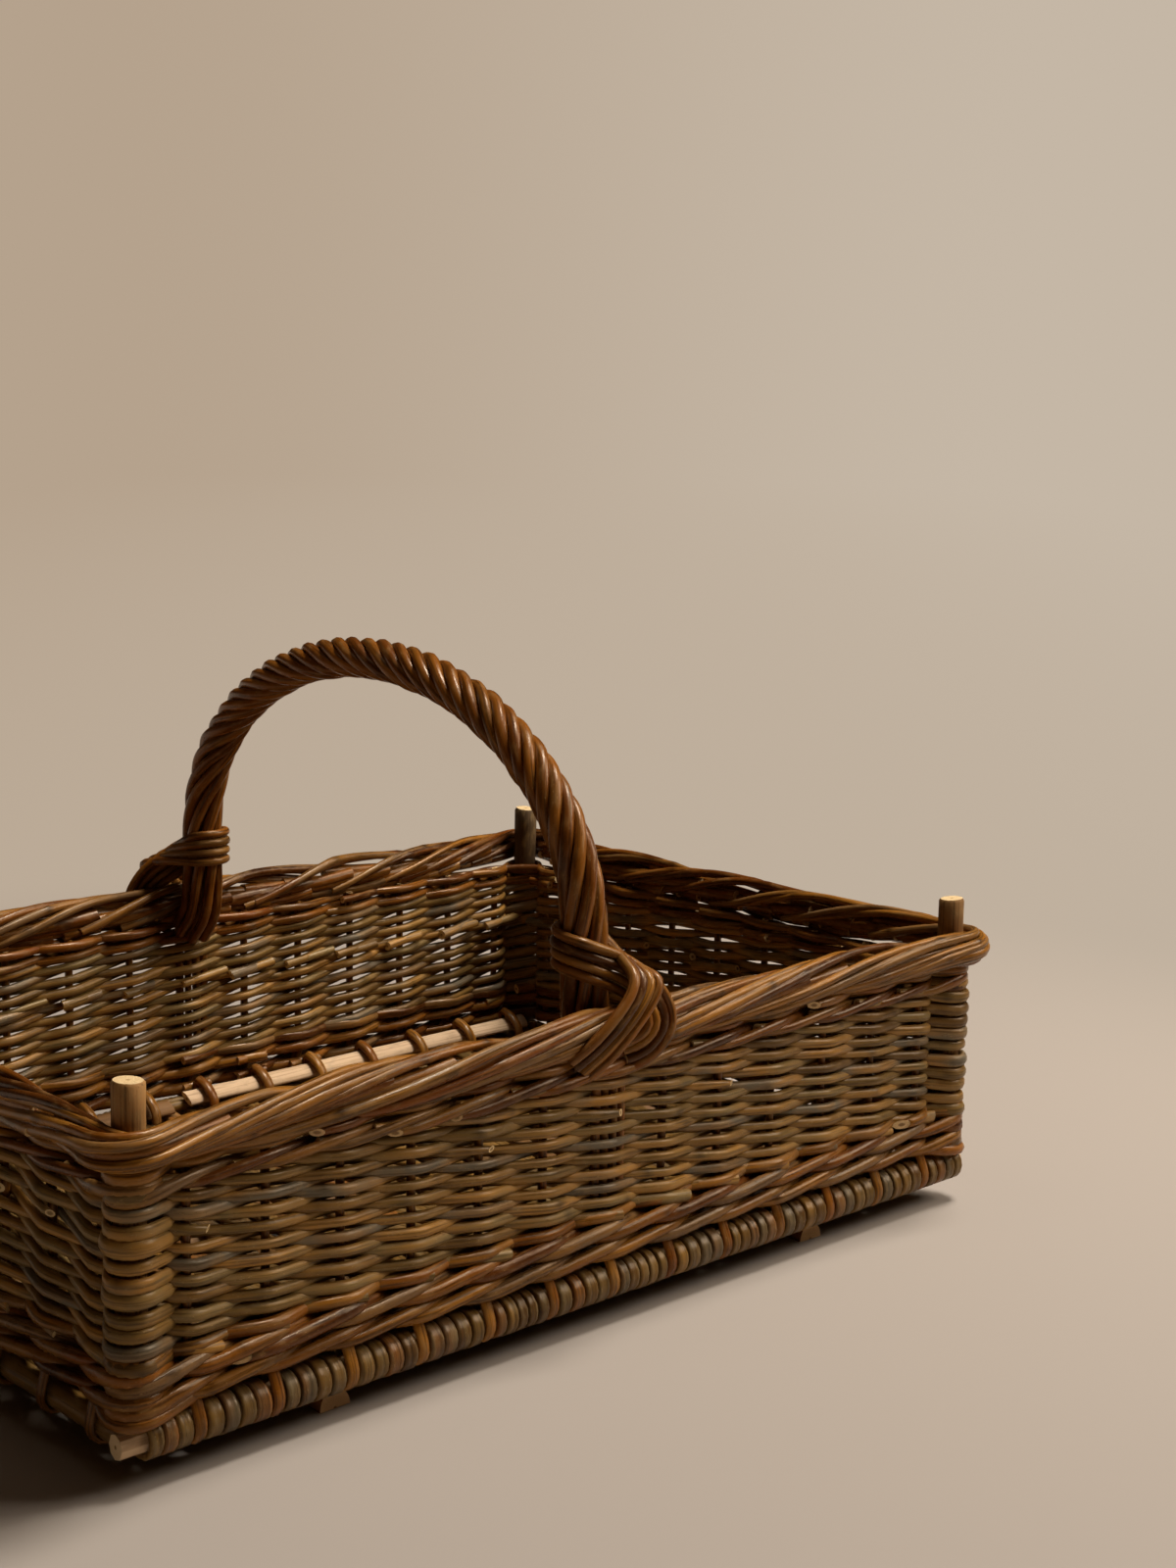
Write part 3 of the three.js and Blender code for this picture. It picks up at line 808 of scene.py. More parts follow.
@dataclass
class BasketPlan:
    """Where everything stands: the uprights in plan and the levels, read from the frame."""

    stakes_long: int = 13
    stakes_end: int = 9
    post_to_stake_long: float = 24.0
    post_to_stake_end: float = 19.0
    stake_radius: float = 3.0
    post_radius: float = 6.5
    rail_radius: float = 5.5
    half_x: float = field(init=False)
    half_y: float = field(init=False)
    base_z: float = field(init=False)
    rail_y: float = field(init=False)
    pitch_long: float = field(init=False)
    pitch_end: float = field(init=False)
    uprights: list[Upright] = field(init=False)

    def __post_init__(self) -> None:
        """Reads the posts and rails, then spaces the stakes between the posts."""
        _, high = node_box(*(f"corner_post_{corner}" for corner in CORNERS))
        self.half_x = high[0] - self.post_radius
        self.half_y = high[1] - self.post_radius
        rails_low, rails_high = node_box("front_rail", "back_rail")
        self.base_z = rails_low[2] + self.rail_radius
        self.rail_y = rails_high[1] - self.rail_radius
        self.pitch_long = 2 * (self.half_x - self.post_to_stake_long) / (self.stakes_long - 1)
        self.pitch_end = 2 * (self.half_y - self.post_to_stake_end) / (self.stakes_end - 1)
        self.uprights = [upright for wall in Wall for upright in self._wall_uprights(wall)]

    def _wall_uprights(self, wall: Wall) -> list[Upright]:
        """Lists a wall's first corner post and its stakes.

        Args:
            wall: The wall.

        Returns:
            The post, then the stakes in their order round the basket.
        """
        reach, half = self.extents(wall)
        count, pitch = self.stakes_end, self.pitch_end
        if wall.is_long:
            count, pitch = self.stakes_long, self.pitch_long
        corner = wall.out * reach - wall.along * half
        stakes = [
            Upright(wall.out * reach + wall.along * (place - (count - 1) / 2) * pitch,
                    self.stake_radius, wall, False)
            for place in range(count)
        ]
        return [Upright(corner, self.post_radius, wall, True), *stakes]

    def extents(self, wall: Wall) -> tuple[float, float]:
        """Gives how far out a wall's middle line is, and half its length between the posts."""
        return (self.half_y, self.half_x) if wall.is_long else (self.half_x, self.half_y)

    def upright(self, index: int) -> Upright:
        """Gives an upright by its number round the basket, which may run past one round."""
        return self.uprights[index % len(self.uprights)]

    def from_post(self, places: np.ndarray) -> np.ndarray:
        """Measures how far some places in plan are from the nearest corner post's middle."""
        posts = np.array([u.centre for u in self.uprights if u.is_post])
        return np.linalg.norm(places[:, None] - posts[None], axis=2).min(axis=1)

    def wall_stakes(self, wall: Wall) -> list[Upright]:
        """Lists the stakes of a wall."""
        return [u for u in self.uprights if u.wall is wall and not u.is_post]


@dataclass
class Stop:
    """A rod's place at one upright: how far outside its centre, and how high."""

    upright: Upright
    offset: float
    z: float


def woven_line(stops: Sequence[Stop], lead: float, trail: float) -> np.ndarray:
    """Draws a rod tight round the uprights that it passes, in their order.

    Args:
        stops: Uprights in order round the basket, with the rod's side and height at each.
        lead: Length that runs on before the first upright.
        trail: Length that runs on after the last upright.

    Returns:
        Corner points of the taut line.
    """
    headings = []
    for here, there in zip(stops, stops[1:]):
        step = there.upright.centre - here.upright.centre
        swing = (here.offset - there.offset) / np.linalg.norm(step)
        headings.append(math.atan2(step[1], step[0]) + math.asin(max(-1.0, min(1.0, swing))))
    points = []
    for i, stop in enumerate(stops):
        upright = stop.upright
        if not upright.is_post:
            points.append([*(upright.centre + upright.wall.out * stop.offset), stop.z])
            continue
        arrive = headings[max(i - 1, 0)]
        leave = headings[min(i, len(headings) - 1)]
        turn = (leave - arrive + math.pi / 2) % (2 * math.pi) - math.pi / 2
        rings = max(1, math.ceil(abs(turn) / CORNER_STEP))
        for ring in range(rings):
            heading = arrive + turn * (ring + 0.5) / rings
            reach = stop.offset / math.cos(turn / (2 * rings))
            spot = upright.centre + reach * np.array([math.sin(heading), -math.cos(heading)])
            points.append([*spot, stop.z])
    first, last = stops[0].upright.wall.along, stops[-1].upright.wall.along
    reach = np.linalg.norm(np.subtract(points[-1], points[0]))
    slope = (points[-1][2] - points[0][2]) / max(1.0, reach)
    before = np.array(points[0]) - np.array([*first, slope]) * lead
    after = np.array(points[-1]) + np.array([*last, slope]) * trail
    return np.array([before, *points, after])


def flattened_radii(line: np.ndarray, radius: np.ndarray, plan: BasketPlan) -> np.ndarray:
    """Flattens a rod where it is bent round a corner post.

    Args:
        line: Centre line of the rod.
        radius: Its radius at each point.
        plan: The basket's plan.

    Returns:
        Half height and half depth at each point.
    """
    beside = np.maximum(0, plan.from_post(line[:, :2]) - plan.post_radius - BEND_EASE)
    bend = np.exp(-((beside / BEND_FADE) ** 2))
    return np.stack([radius * (1 + BEND_WIDEN * bend), radius * (1 - BEND_THIN * bend)], axis=1)


def thinned(line: np.ndarray, end: int, length: float, share: float) -> np.ndarray:
    """Thins a rod towards a slanting cut at one of its ends.

    Args:
        line: Its centre line.
        end: 0 for its first point, -1 for its last.
        length: Length over which it thins.
        share: Share of the radius that is left at the cut.

    Returns:
        Radius factor at each point.
    """
    return np.interp(np.linalg.norm(line - line[end], axis=1), (0, length), (share, 1.0))


@dataclass
class RandedSides:
    """The woven sides: a rod laid in at each upright, outside one and inside the next, climbing left."""

    plan: BasketPlan
    rng: np.random.Generator
    rows: int = 9
    lower_rows: int = 6
    butt: float = 2.65
    tip: float = 2.2
    stoutness: tuple[float, ...] = (0.96, 0.95, 0.96, 0.96)
    stake_ease: float = -0.9
    outer_lift: float = 0.2
    spring: float = 2.2
    butt_reach: float = 9.0
    tip_reach: float = 17.0
    butts_outside: float = 0.4
    sizes: tuple[float, float] = (0.86, 1.14)
    sag: float = 0.6
    jitter: float = 0.5
    trimmed: tuple[float, float] = (3, 7)
    cut_length: float = 16
    cut_share: float = 0.62
    cut_bevels: tuple[float, float] = (1.2, 1.9)
    tip_spread: tuple[float, float] = (0.7, 1.3)
    butt_spread: tuple[float, float] = (0.7, 1.4)
    post_reach: float = 1.0

    def build(self) -> None:
        """Builds the lower and the upper set of rods, a piece for each wall."""
        first, last = node_box("side_rod_1"), node_box(f"side_rod_{self.rows}")
        bottom = (first[0][2] + first[1][2]) / 2
        pitch = ((last[0][2] + last[1][2]) / 2 - bottom) / (self.rows - 1)
        lower_nodes = numbered("side_rod", 1, self.lower_rows)
        upper_nodes = numbered("side_rod", self.lower_rows + 1, self.rows)
        low_top, high_top = 2 * self.lower_rows, 2 * (self.rows - self.lower_rows)
        sets = (
            ("lower", bottom + pitch * self.lower_rows, range(0, low_top + 2), 0.0, lower_nodes),
            ("upper", bottom + pitch * self.rows, range(-1, high_top + 1), self.butts_outside,
             upper_nodes),
        )
        for wall, stoutness in zip(Wall, self.stoutness):
            for label, high, steps, shown, nodes in sets:
                skin = Skin(self.rng)
                for index, upright in enumerate(self.plan.uprights):
                    if upright.wall is wall:
                        shows_butt = self.rng.uniform() < shown
                        skin.add(self._rod(index, high - pitch / 2, pitch / 2, steps, stoutness,
                                           shows_butt))
                skin.place(f"{wall.name.lower()}_{label}_siding", OLIVE, nodes)

    def _rod(self, start: int, high: float, fall: float, steps: range, stoutness: float,
             shows_butt: bool) -> Rod:
        """Weaves one rod, traced to the right from its high tip to its low butt.

        Args:
            start: Number of the upright inside which it is at step 0.
            high: Its height there.
            fall: How much lower it is at each next upright.
            steps: Uprights that it passes, counted from the start; it lies outside at the odd ones.
            stoutness: Thickness against the usual.
            shows_butt: Whether its butt ends outside, thinned and cut at a slant.

        Returns:
            The rod.
        """
        end = self.plan.upright(start + steps[-1] - 1)
        shows_butt = shows_butt and not end.is_post and end.wall in (Wall.FRONT, Wall.LEFT)
        first = steps[0] - int(self._ends_at_post(start, steps[0]))
        last = steps[-1] - 1 if shows_butt else steps[-1] + int(self._ends_at_post(start, steps[-1]))
        butt = self.butt * stoutness * self.rng.uniform(*self.sizes)
        tip = self.tip * stoutness * self.rng.uniform(*self.sizes)
        level = high + self.rng.uniform(-self.sag, self.sag)
        stops = []
        for step in range(first, last + 1):
            upright = self.plan.upright(start + step)
            outside = step % 2
            radius = tip + (butt - tip) * (step - first) / (last - first)
            reach = upright.radius + radius + (0.0 if upright.is_post else self.stake_ease)
            z = level - fall * step + self.outer_lift * outside
            z += self.rng.uniform(-self.jitter, self.jitter)
            stops.append(Stop(upright, reach if outside else -reach, z))
        lead = trail = self.post_reach
        if not stops[0].upright.is_post:
            lead = self.tip_reach * self.rng.uniform(*self.tip_spread)
        if not stops[-1].upright.is_post:
            trail = self.butt_reach * self.rng.uniform(*self.butt_spread)
        if shows_butt:
            trail = self.rng.uniform(*self.trimmed)
        line = relax(woven_line(stops, lead, trail), self.spring, WOVEN_STEP)
        radius = np.linspace(tip, butt, len(line))
        bevel = 0.0
        if shows_butt:
            radius *= thinned(line, -1, self.cut_length, self.cut_share)
            bevel = self.rng.uniform(*self.cut_bevels)
        radii = flattened_radii(line, radius, self.plan)
        return Rod(line, radii, self.rng.uniform(), UP, end_bevel=bevel)

    def _ends_at_post(self, start: int, step: int) -> bool:
        """Tells whether a rod's end lies outside a corner post, so that it runs one upright further."""
        return step % 2 == 1 and self.plan.upright(start + step).is_post


@dataclass
class WaleRound:
    """One round of wale: each rod climbs outside across all but one upright, then goes behind one."""

    plan: BasketPlan
    rng: np.random.Generator
    low: float
    step: float
    butt: float
    tip: float
    phase: int
    rods: int
    ease: float = 0.6
    spring: float = 6.0
    butts_outside: float = 0.4
    jitter: float = 0.3
    cut_length: float = 14
    cut_share: float = 0.7
    cut_bevels: tuple[float, float] = (1.4, 2.2)
    strokes: tuple[int, int] = (4, 7)
    butt_sizes: tuple[float, float] = (0.94, 1.08)
    tip_sizes: tuple[float, float] = (0.94, 1.06)
    shown_lead: tuple[float, float] = (13, 18)
    hidden_lead: tuple[float, float] = (6, 11)
    trail: tuple[float, float] = (5, 10)

    def strand(self, number: int) -> list[Rod]:
        """Weaves one of the round's rods, pieced from several lengths.

        Args:
            number: Which of the rods.

        Returns:
            The lengths in order round the basket.
        """
        total = len(self.plan.uprights)
        behind = self.rods - 1
        starts = [u for u in range(total) if self._stroke(u, number) == behind]
        lengths = []
        begin = starts[self.rng.integers(0, 2)]
        end_of_round = begin + total
        while begin < end_of_round:
            reach = self.rods * int(self.rng.integers(*self.strokes))
            finish = begin + reach
            if end_of_round - finish < 2 * self.rods:
                finish = end_of_round
            lengths.append(self._length(begin, finish, number))
            begin = finish
        return lengths

    def _stroke(self, index: int, number: int) -> int:
        """Tells a rod's stroke at an upright: 0 low outside, then higher, and the last inside."""
        return (index + self.phase - number) % self.rods

    def _length(self, begin: int, finish: int, number: int) -> Rod:
        """Weaves one length from behind an upright to behind another.

        Args:
            begin: Number of the upright that it starts behind.
            finish: Number of the upright that it ends behind.
            number: Which of the round's rods it belongs to.

        Returns:
            The length.
        """
        shows_butt = self.rng.uniform() < self.butts_outside
        shows_butt = shows_butt and not self.plan.upright(begin + 1).is_post
        butt = self.butt * self.rng.uniform(*self.butt_sizes)
        tip = self.tip * self.rng.uniform(*self.tip_sizes)
        first = begin + 1 if shows_butt else begin
        stops = []
        for index in range(first, finish + 1):
            upright = self.plan.upright(index)
            radius = butt + (tip - butt) * (index - begin) / (finish - begin)
            stroke = self._stroke(index, number)
            inside = stroke == self.rods - 1
            side = -1 if inside else 1
            rise = self.rods / 2 - 1 if inside else stroke
            z = self.low + rise * self.step + self.rng.uniform(-self.jitter, self.jitter)
            stops.append(Stop(upright, side * (upright.radius + radius + self.ease), z))
        lead = self.rng.uniform(*(self.shown_lead if shows_butt else self.hidden_lead))
        line = relax(woven_line(stops, lead, self.rng.uniform(*self.trail)), self.spring, WOVEN_STEP)
        radius = np.linspace(butt, tip, len(line))
        bevel = 0.0
        if shows_butt:
            radius *= thinned(line, 0, self.cut_length, self.cut_share)
            bevel = self.rng.uniform(*self.cut_bevels)
        radii = flattened_radii(line, radius, self.plan)
        return Rod(line, radii, self.rng.uniform(), UP, start_bevel=bevel)


@dataclass
class Wales:
    """The red-brown wales below and above the sides."""

    plan: BasketPlan
    rng: np.random.Generator
    bottom_butt: float = 3.0
    bottom_tip: float = 2.45
    bottom_rounds: tuple[int, ...] = (3, 3, 2)
    top_butt: float = 2.4
    top_tip: float = 2.05
    top_rounds: tuple[int, ...] = (3, 2)
    bed: float = 2.2
    corner_radius: float = 3.3
    corner_reach: float = 5.0
    corner_sides: tuple[float, float] = (-1.0, 3.5)
    corner_drops: tuple[float, ...] = (3.0, 1.0, -3.6, -1.2, 3.0)
    corner_spring: float = 5.0
    corner_taper: float = 0.8
    corner_tints: tuple[float, float] = (0.2, 0.5)

    def build(self) -> None:
        """Builds the rounds at the bottom and under the border, and a rod low round each corner."""
        bottom_nodes = numbered("bottom_wale_rod", 1, 4)
        top_nodes = numbered("top_wale_rod", 1, 3)
        self._rounds("bottom", self.bottom_rounds, bottom_nodes, self.bottom_butt, self.bottom_tip,
                     self.bed)
        self._rounds("top", self.top_rounds, top_nodes, self.top_butt, self.top_tip, 0.0)
        low, _ = node_box(*bottom_nodes)
        skin = Skin(self.rng)
        for index, upright in enumerate(self.plan.uprights):
            if upright.is_post:
                skin.add(self._corner_rod(index, low[2]))
        skin.place("bottom_wale_corner_rods", BROWN, bottom_nodes)

    def _rounds(self, label: str, rounds: Sequence[int], nodes: Sequence[str], butt: float,
                tip: float, bed: float) -> None:
        """Stacks rounds of wale in the height of the CAD's wale.

        Args:
            label: Name before the pieces' numbers.
            rounds: Number of rods in each round, from the bottom.
            nodes: CAD nodes that they stand for.
            butt: Radius of the rods' butts.
            tip: Radius of the rods' tips.
            bed: Depth by which they are pressed down on what lies below.
        """
        low, high = node_box(*nodes)
        strokes = sum(rods - 1 for rods in rounds)
        step = (high[2] - low[2] + bed - 2 * tip) / (strokes - 1)
        z = low[2] - bed + tip
        for level, rods in enumerate(rounds):
            wale = WaleRound(self.plan, self.rng, z, step, butt, tip, level, rods)
            for number in range(rods):
                skin = Skin(self.rng)
                for rod in wale.strand(number):
                    skin.add(rod)
                skin.place(f"{label}_wale_{level + 1}_strand_{number + 1}", BROWN, nodes)
            z += (rods - 1) * step

    def _corner_rod(self, index: int, z: float) -> Rod:
        """Bends one thick rod round a post, under the wale.

        Args:
            index: Number of the post.
            z: Height of the wale's lowest edge.

        Returns:
            The rod.
        """
        far, near = self.corner_sides
        offsets = (far, near, self.plan.post_radius + self.corner_radius, near, far)
        stops = [Stop(self.plan.upright(index + place - 2), offset, z + drop)
                 for place, (offset, drop) in enumerate(zip(offsets, self.corner_drops))]
        taut = woven_line(stops, self.corner_reach, self.corner_reach)
        line = relax(taut, self.corner_spring, WOVEN_STEP)
        tip = self.corner_radius * self.corner_taper
        return Rod.tapered(line, self.corner_radius, tip, self.rng.uniform(*self.corner_tints))


@dataclass
class RolledBorder:
    """The border: stakes laid down to the right and rolled over each other, round the posts outside."""

    plan: BasketPlan
    rng: np.random.Generator
    set_out: float = 3.5
    half_width: float = 5.2
    flare: float = 95.0
    butt: float = 2.65
    tip: float = 1.9
    spacing: float = 27.0
    run: float = 245.0
    start_angle: float = -130.0
    end_angle: float = 235.0
    bed: float = 2.2
    core_radius: float = 3.6
    core_run: float = 150.0
    stub_radius: float = 1.9
    wander: float = 0.06
    wander_length: float = 16.0
    corner_slim: float = 0.27
    corner_span: float = 48.0
    spring: float = 3.5
    ease: float = 0.3
    start_jitter: float = 4
    angle_jitter: float = 16
    turn_shares: tuple[float, ...] = (0, 0.08, 0.72, 1)
    turns: tuple[float, ...] = (0, 0.12, 0.61, 1)
    roll_sizes: tuple[float, float] = (0.86, 1.08)
    run_sizes: tuple[float, float] = (0.92, 1.08)
    rod_sizes: tuple[float, float] = (0.8, 1.14)
    knotty: float = 1.5
    core_angles: tuple[float, float] = (200, 380)
    core_jitter: float = 40
    core_size: float = 0.42
    core_taper: float = 0.8
    # Core rods are real bark held to the darker tints, painted shade for the gaps between the laid rods.
    core_shade_tints: tuple[float, float] = (0, 0.5)
    stub_heights: tuple[float, float] = (1, 3)
    stub_taper: float = 0.95
    path_step: float = 3.0
    corner_turn: int = 10
    laid_points: int = 70
    core_points: int = 40
    path: np.ndarray = field(init=False)
    outward: np.ndarray = field(init=False)
    places: np.ndarray = field(init=False)
    middle: float = field(init=False)
    half_height: float = field(init=False)

    def __post_init__(self) -> None:
        """Reads the border's height and traces its middle round the basket."""
        low, high = node_box(*BORDER_NODES)
        self.middle = (low[2] + high[2] - self.bed) / 2
        self.half_height = (high[2] - low[2] + self.bed) / 2 - self.tip - self.ease
        self.path, self.outward = self._centre_line()
        self.places = distances(self.path)

    def build(self) -> None:
        """Builds the laid-down rods, a piece for each quarter of the way round."""
        starts = np.arange(0.0, self.places[-1] - self.spacing / 2, self.spacing)
        quarters = np.array_split(starts, len(Wall))
        for wall, quarter in zip(Wall, quarters):
            skin = Skin(self.rng)
            for start in quarter:
                shift = self.rng.uniform(-self.start_jitter, self.start_jitter)
                skin.add(self._laid_rod(start + shift))
                skin.add(self._core_rod(start))
            if not wall.is_long:
                for stake in self.plan.wall_stakes(wall):
                    skin.add(self._trimmed_end(stake))
            skin.place(f"{wall.name.lower()}_border", BROWN, BORDER_NODES)

    def _centre_line(self) -> tuple[np.ndarray, np.ndarray]:
        """Traces the border's middle once round, swinging out round each post.

        Returns:
            Points in plan, closed, and the outward direction at each.
        """
        corner_reach = self.plan.post_radius + self.half_width + self.tip - 1.0
        points = []
        for wall in Wall:
            reach, half = self.plan.extents(wall)
            for place in np.arange(-half, half + 0.1, self.path_step):
                near = np.clip((abs(place) - half + self.flare) / self.flare, 0, 1)
                out = reach + self.set_out + (corner_reach - self.set_out) * near * near
                points.append(wall.out * out + wall.along * place)
            post = wall.out * reach + wall.along * half
            for turn in np.radians(np.arange(self.corner_turn, 90, self.corner_turn)):
                out = wall.out * math.cos(turn) + wall.along * math.sin(turn)
                points.append(post + out * corner_reach)
        points.append(points[0])
        path = np.array(points)
        step = np.roll(path[:-1], -1, axis=0) - np.roll(path[:-1], 1, axis=0)
        normal = np.stack([step[:, 1], -step[:, 0]], axis=1)
        normal /= np.linalg.norm(normal, axis=1, keepdims=True)
        return path, np.concatenate([normal, normal[:1]])

    def _section_line(self, start: float, run: float, angles: np.ndarray, size: float) -> np.ndarray:
        """Carries a line along the border while it turns round the border's section.

        Args:
            start: Place round the basket where it starts.
            run: Length along the border.
            angles: Angle in the section at even steps: 0 is outward, 90 degrees is up.
            size: Share of the section's full size.

        Returns:
            Points of the line.
        """
        spot = (start + np.linspace(0, run, len(angles))) % self.places[-1]
        centre, out = (
            np.stack([np.interp(spot, self.places, values[:, axis]) for axis in range(2)], axis=1)
            for values in (self.path, self.outward))
        waves = np.linspace(0, run / self.wander_length, len(angles)) + self.rng.uniform(0, PHASE_SPAN)
        size = size + self.wander * np.sin(waves)
        plan_points = centre + out * (size * self.half_width * np.cos(angles))[:, None]
        slim = self.corner_slim * np.exp(-(self.plan.from_post(centre) / self.corner_span) ** 2)
        height = self.middle + self.half_height * (size * (1 - slim) * np.sin(angles) + slim / 2)
        return np.column_stack([plan_points, height])

    def _laid_rod(self, start: float) -> Rod:
        """Rolls one rod up the outer face, over the top and down inside.

        Args:
            start: Place round the basket where it starts.

        Returns:
            The rod.
        """
        bend = np.interp(np.linspace(0, 1, self.laid_points), self.turn_shares, self.turns)
        jitter = self.rng.uniform(-self.angle_jitter, self.angle_jitter)
        angles = np.radians(self.start_angle + bend * (self.end_angle - self.start_angle) + jitter)
        size = self.rng.uniform(*self.roll_sizes)
        run = self.run * self.rng.uniform(*self.run_sizes)
        line = relax(self._section_line(start, run, angles, size), self.spring, WOVEN_STEP)
        butt = self.butt * self.rng.uniform(*self.rod_sizes)
        tip = self.tip * self.rng.uniform(*self.rod_sizes)
        rod = Rod.tapered(line, butt, tip, self.rng.uniform())
        rod.knotty = self.knotty
        return rod

    def _trimmed_end(self, stake: Upright) -> Rod:
        """Pokes one trimmed rod end out between the lowest rods of the border.

        Args:
            stake: The stake beside which it ends.

        Returns:
            The rod.
        """
        out, along = np.array([*stake.wall.out, 0.0]), np.array([*stake.wall.along, 0.0])
        z = self.middle - self.half_height + self.rng.uniform(*self.stub_heights)
        spot = np.array([*stake.centre, z])
        reach = self.set_out + self.half_width + self.tip + self.rng.uniform(-0.5, 1.0)
        line = straight(spot + out * 2 - along * 3, spot + out * reach + along * 3, WOVEN_STEP)
        tip = self.stub_radius * self.stub_taper
        return Rod.tapered(line, self.stub_radius, tip, self.rng.uniform())

    def _core_rod(self, start: float) -> Rod:
        """Lays one bent-down stake inside the roll, its bark held dark as painted shade in the gaps between
        the laid rods.

        Args:
            start: Place round the basket where it starts.

        Returns:
            The rod.
        """
        jitter = self.rng.uniform(-self.core_jitter, self.core_jitter)
        angles = np.radians(np.linspace(*self.core_angles, self.core_points) + jitter)
        taut = self._section_line(start, self.core_run, angles, self.core_size)
        tip = self.core_radius * self.core_taper
        line = relax(taut, self.spring, GENTLE_STEP)
        return Rod.tapered(line, self.core_radius, tip, self.rng.uniform(*self.core_shade_tints))


@dataclass
class CornerPosts:
    """Thick rods in their bark at the corners, with pale cut tops."""

    plan: BasketPlan
    rng: np.random.Generator
    tints: tuple[float, ...] = (0.8, 0.6, 0.15, 0.5)
    sway: float = 0.25
    sway_length: float = 19
    chamfer: float = 0.9
    chamfer_height: float = 1.2

    def build(self) -> None:
        """Builds the four posts."""
        for corner, tint in zip(CORNERS, self.tints):
            node = f"corner_post_{corner}"
            low, high = node_box(node)
            centre = (low + high)[:2] / 2
            line = straight([*centre, low[2]], [*centre, high[2]], GENTLE_STEP)
            phases = self.rng.uniform(0, PHASE_SPAN, 2)
            line[:, :2] += self.sway * np.sin(line[:, 2:] / self.sway_length + phases)
            line[-2, 2] = line[-1, 2] - self.chamfer_height
            radius = np.full(len(line), self.plan.post_radius)
            radius[-1] -= self.chamfer
            skin = Skin(self.rng, sides=16)
            skin.add(Rod(line, np.stack([radius, radius], axis=1), tint, ALONG_X, slant=0.12, knotty=0.3))
            skin.place(f"{corner}_post", POST, [node])


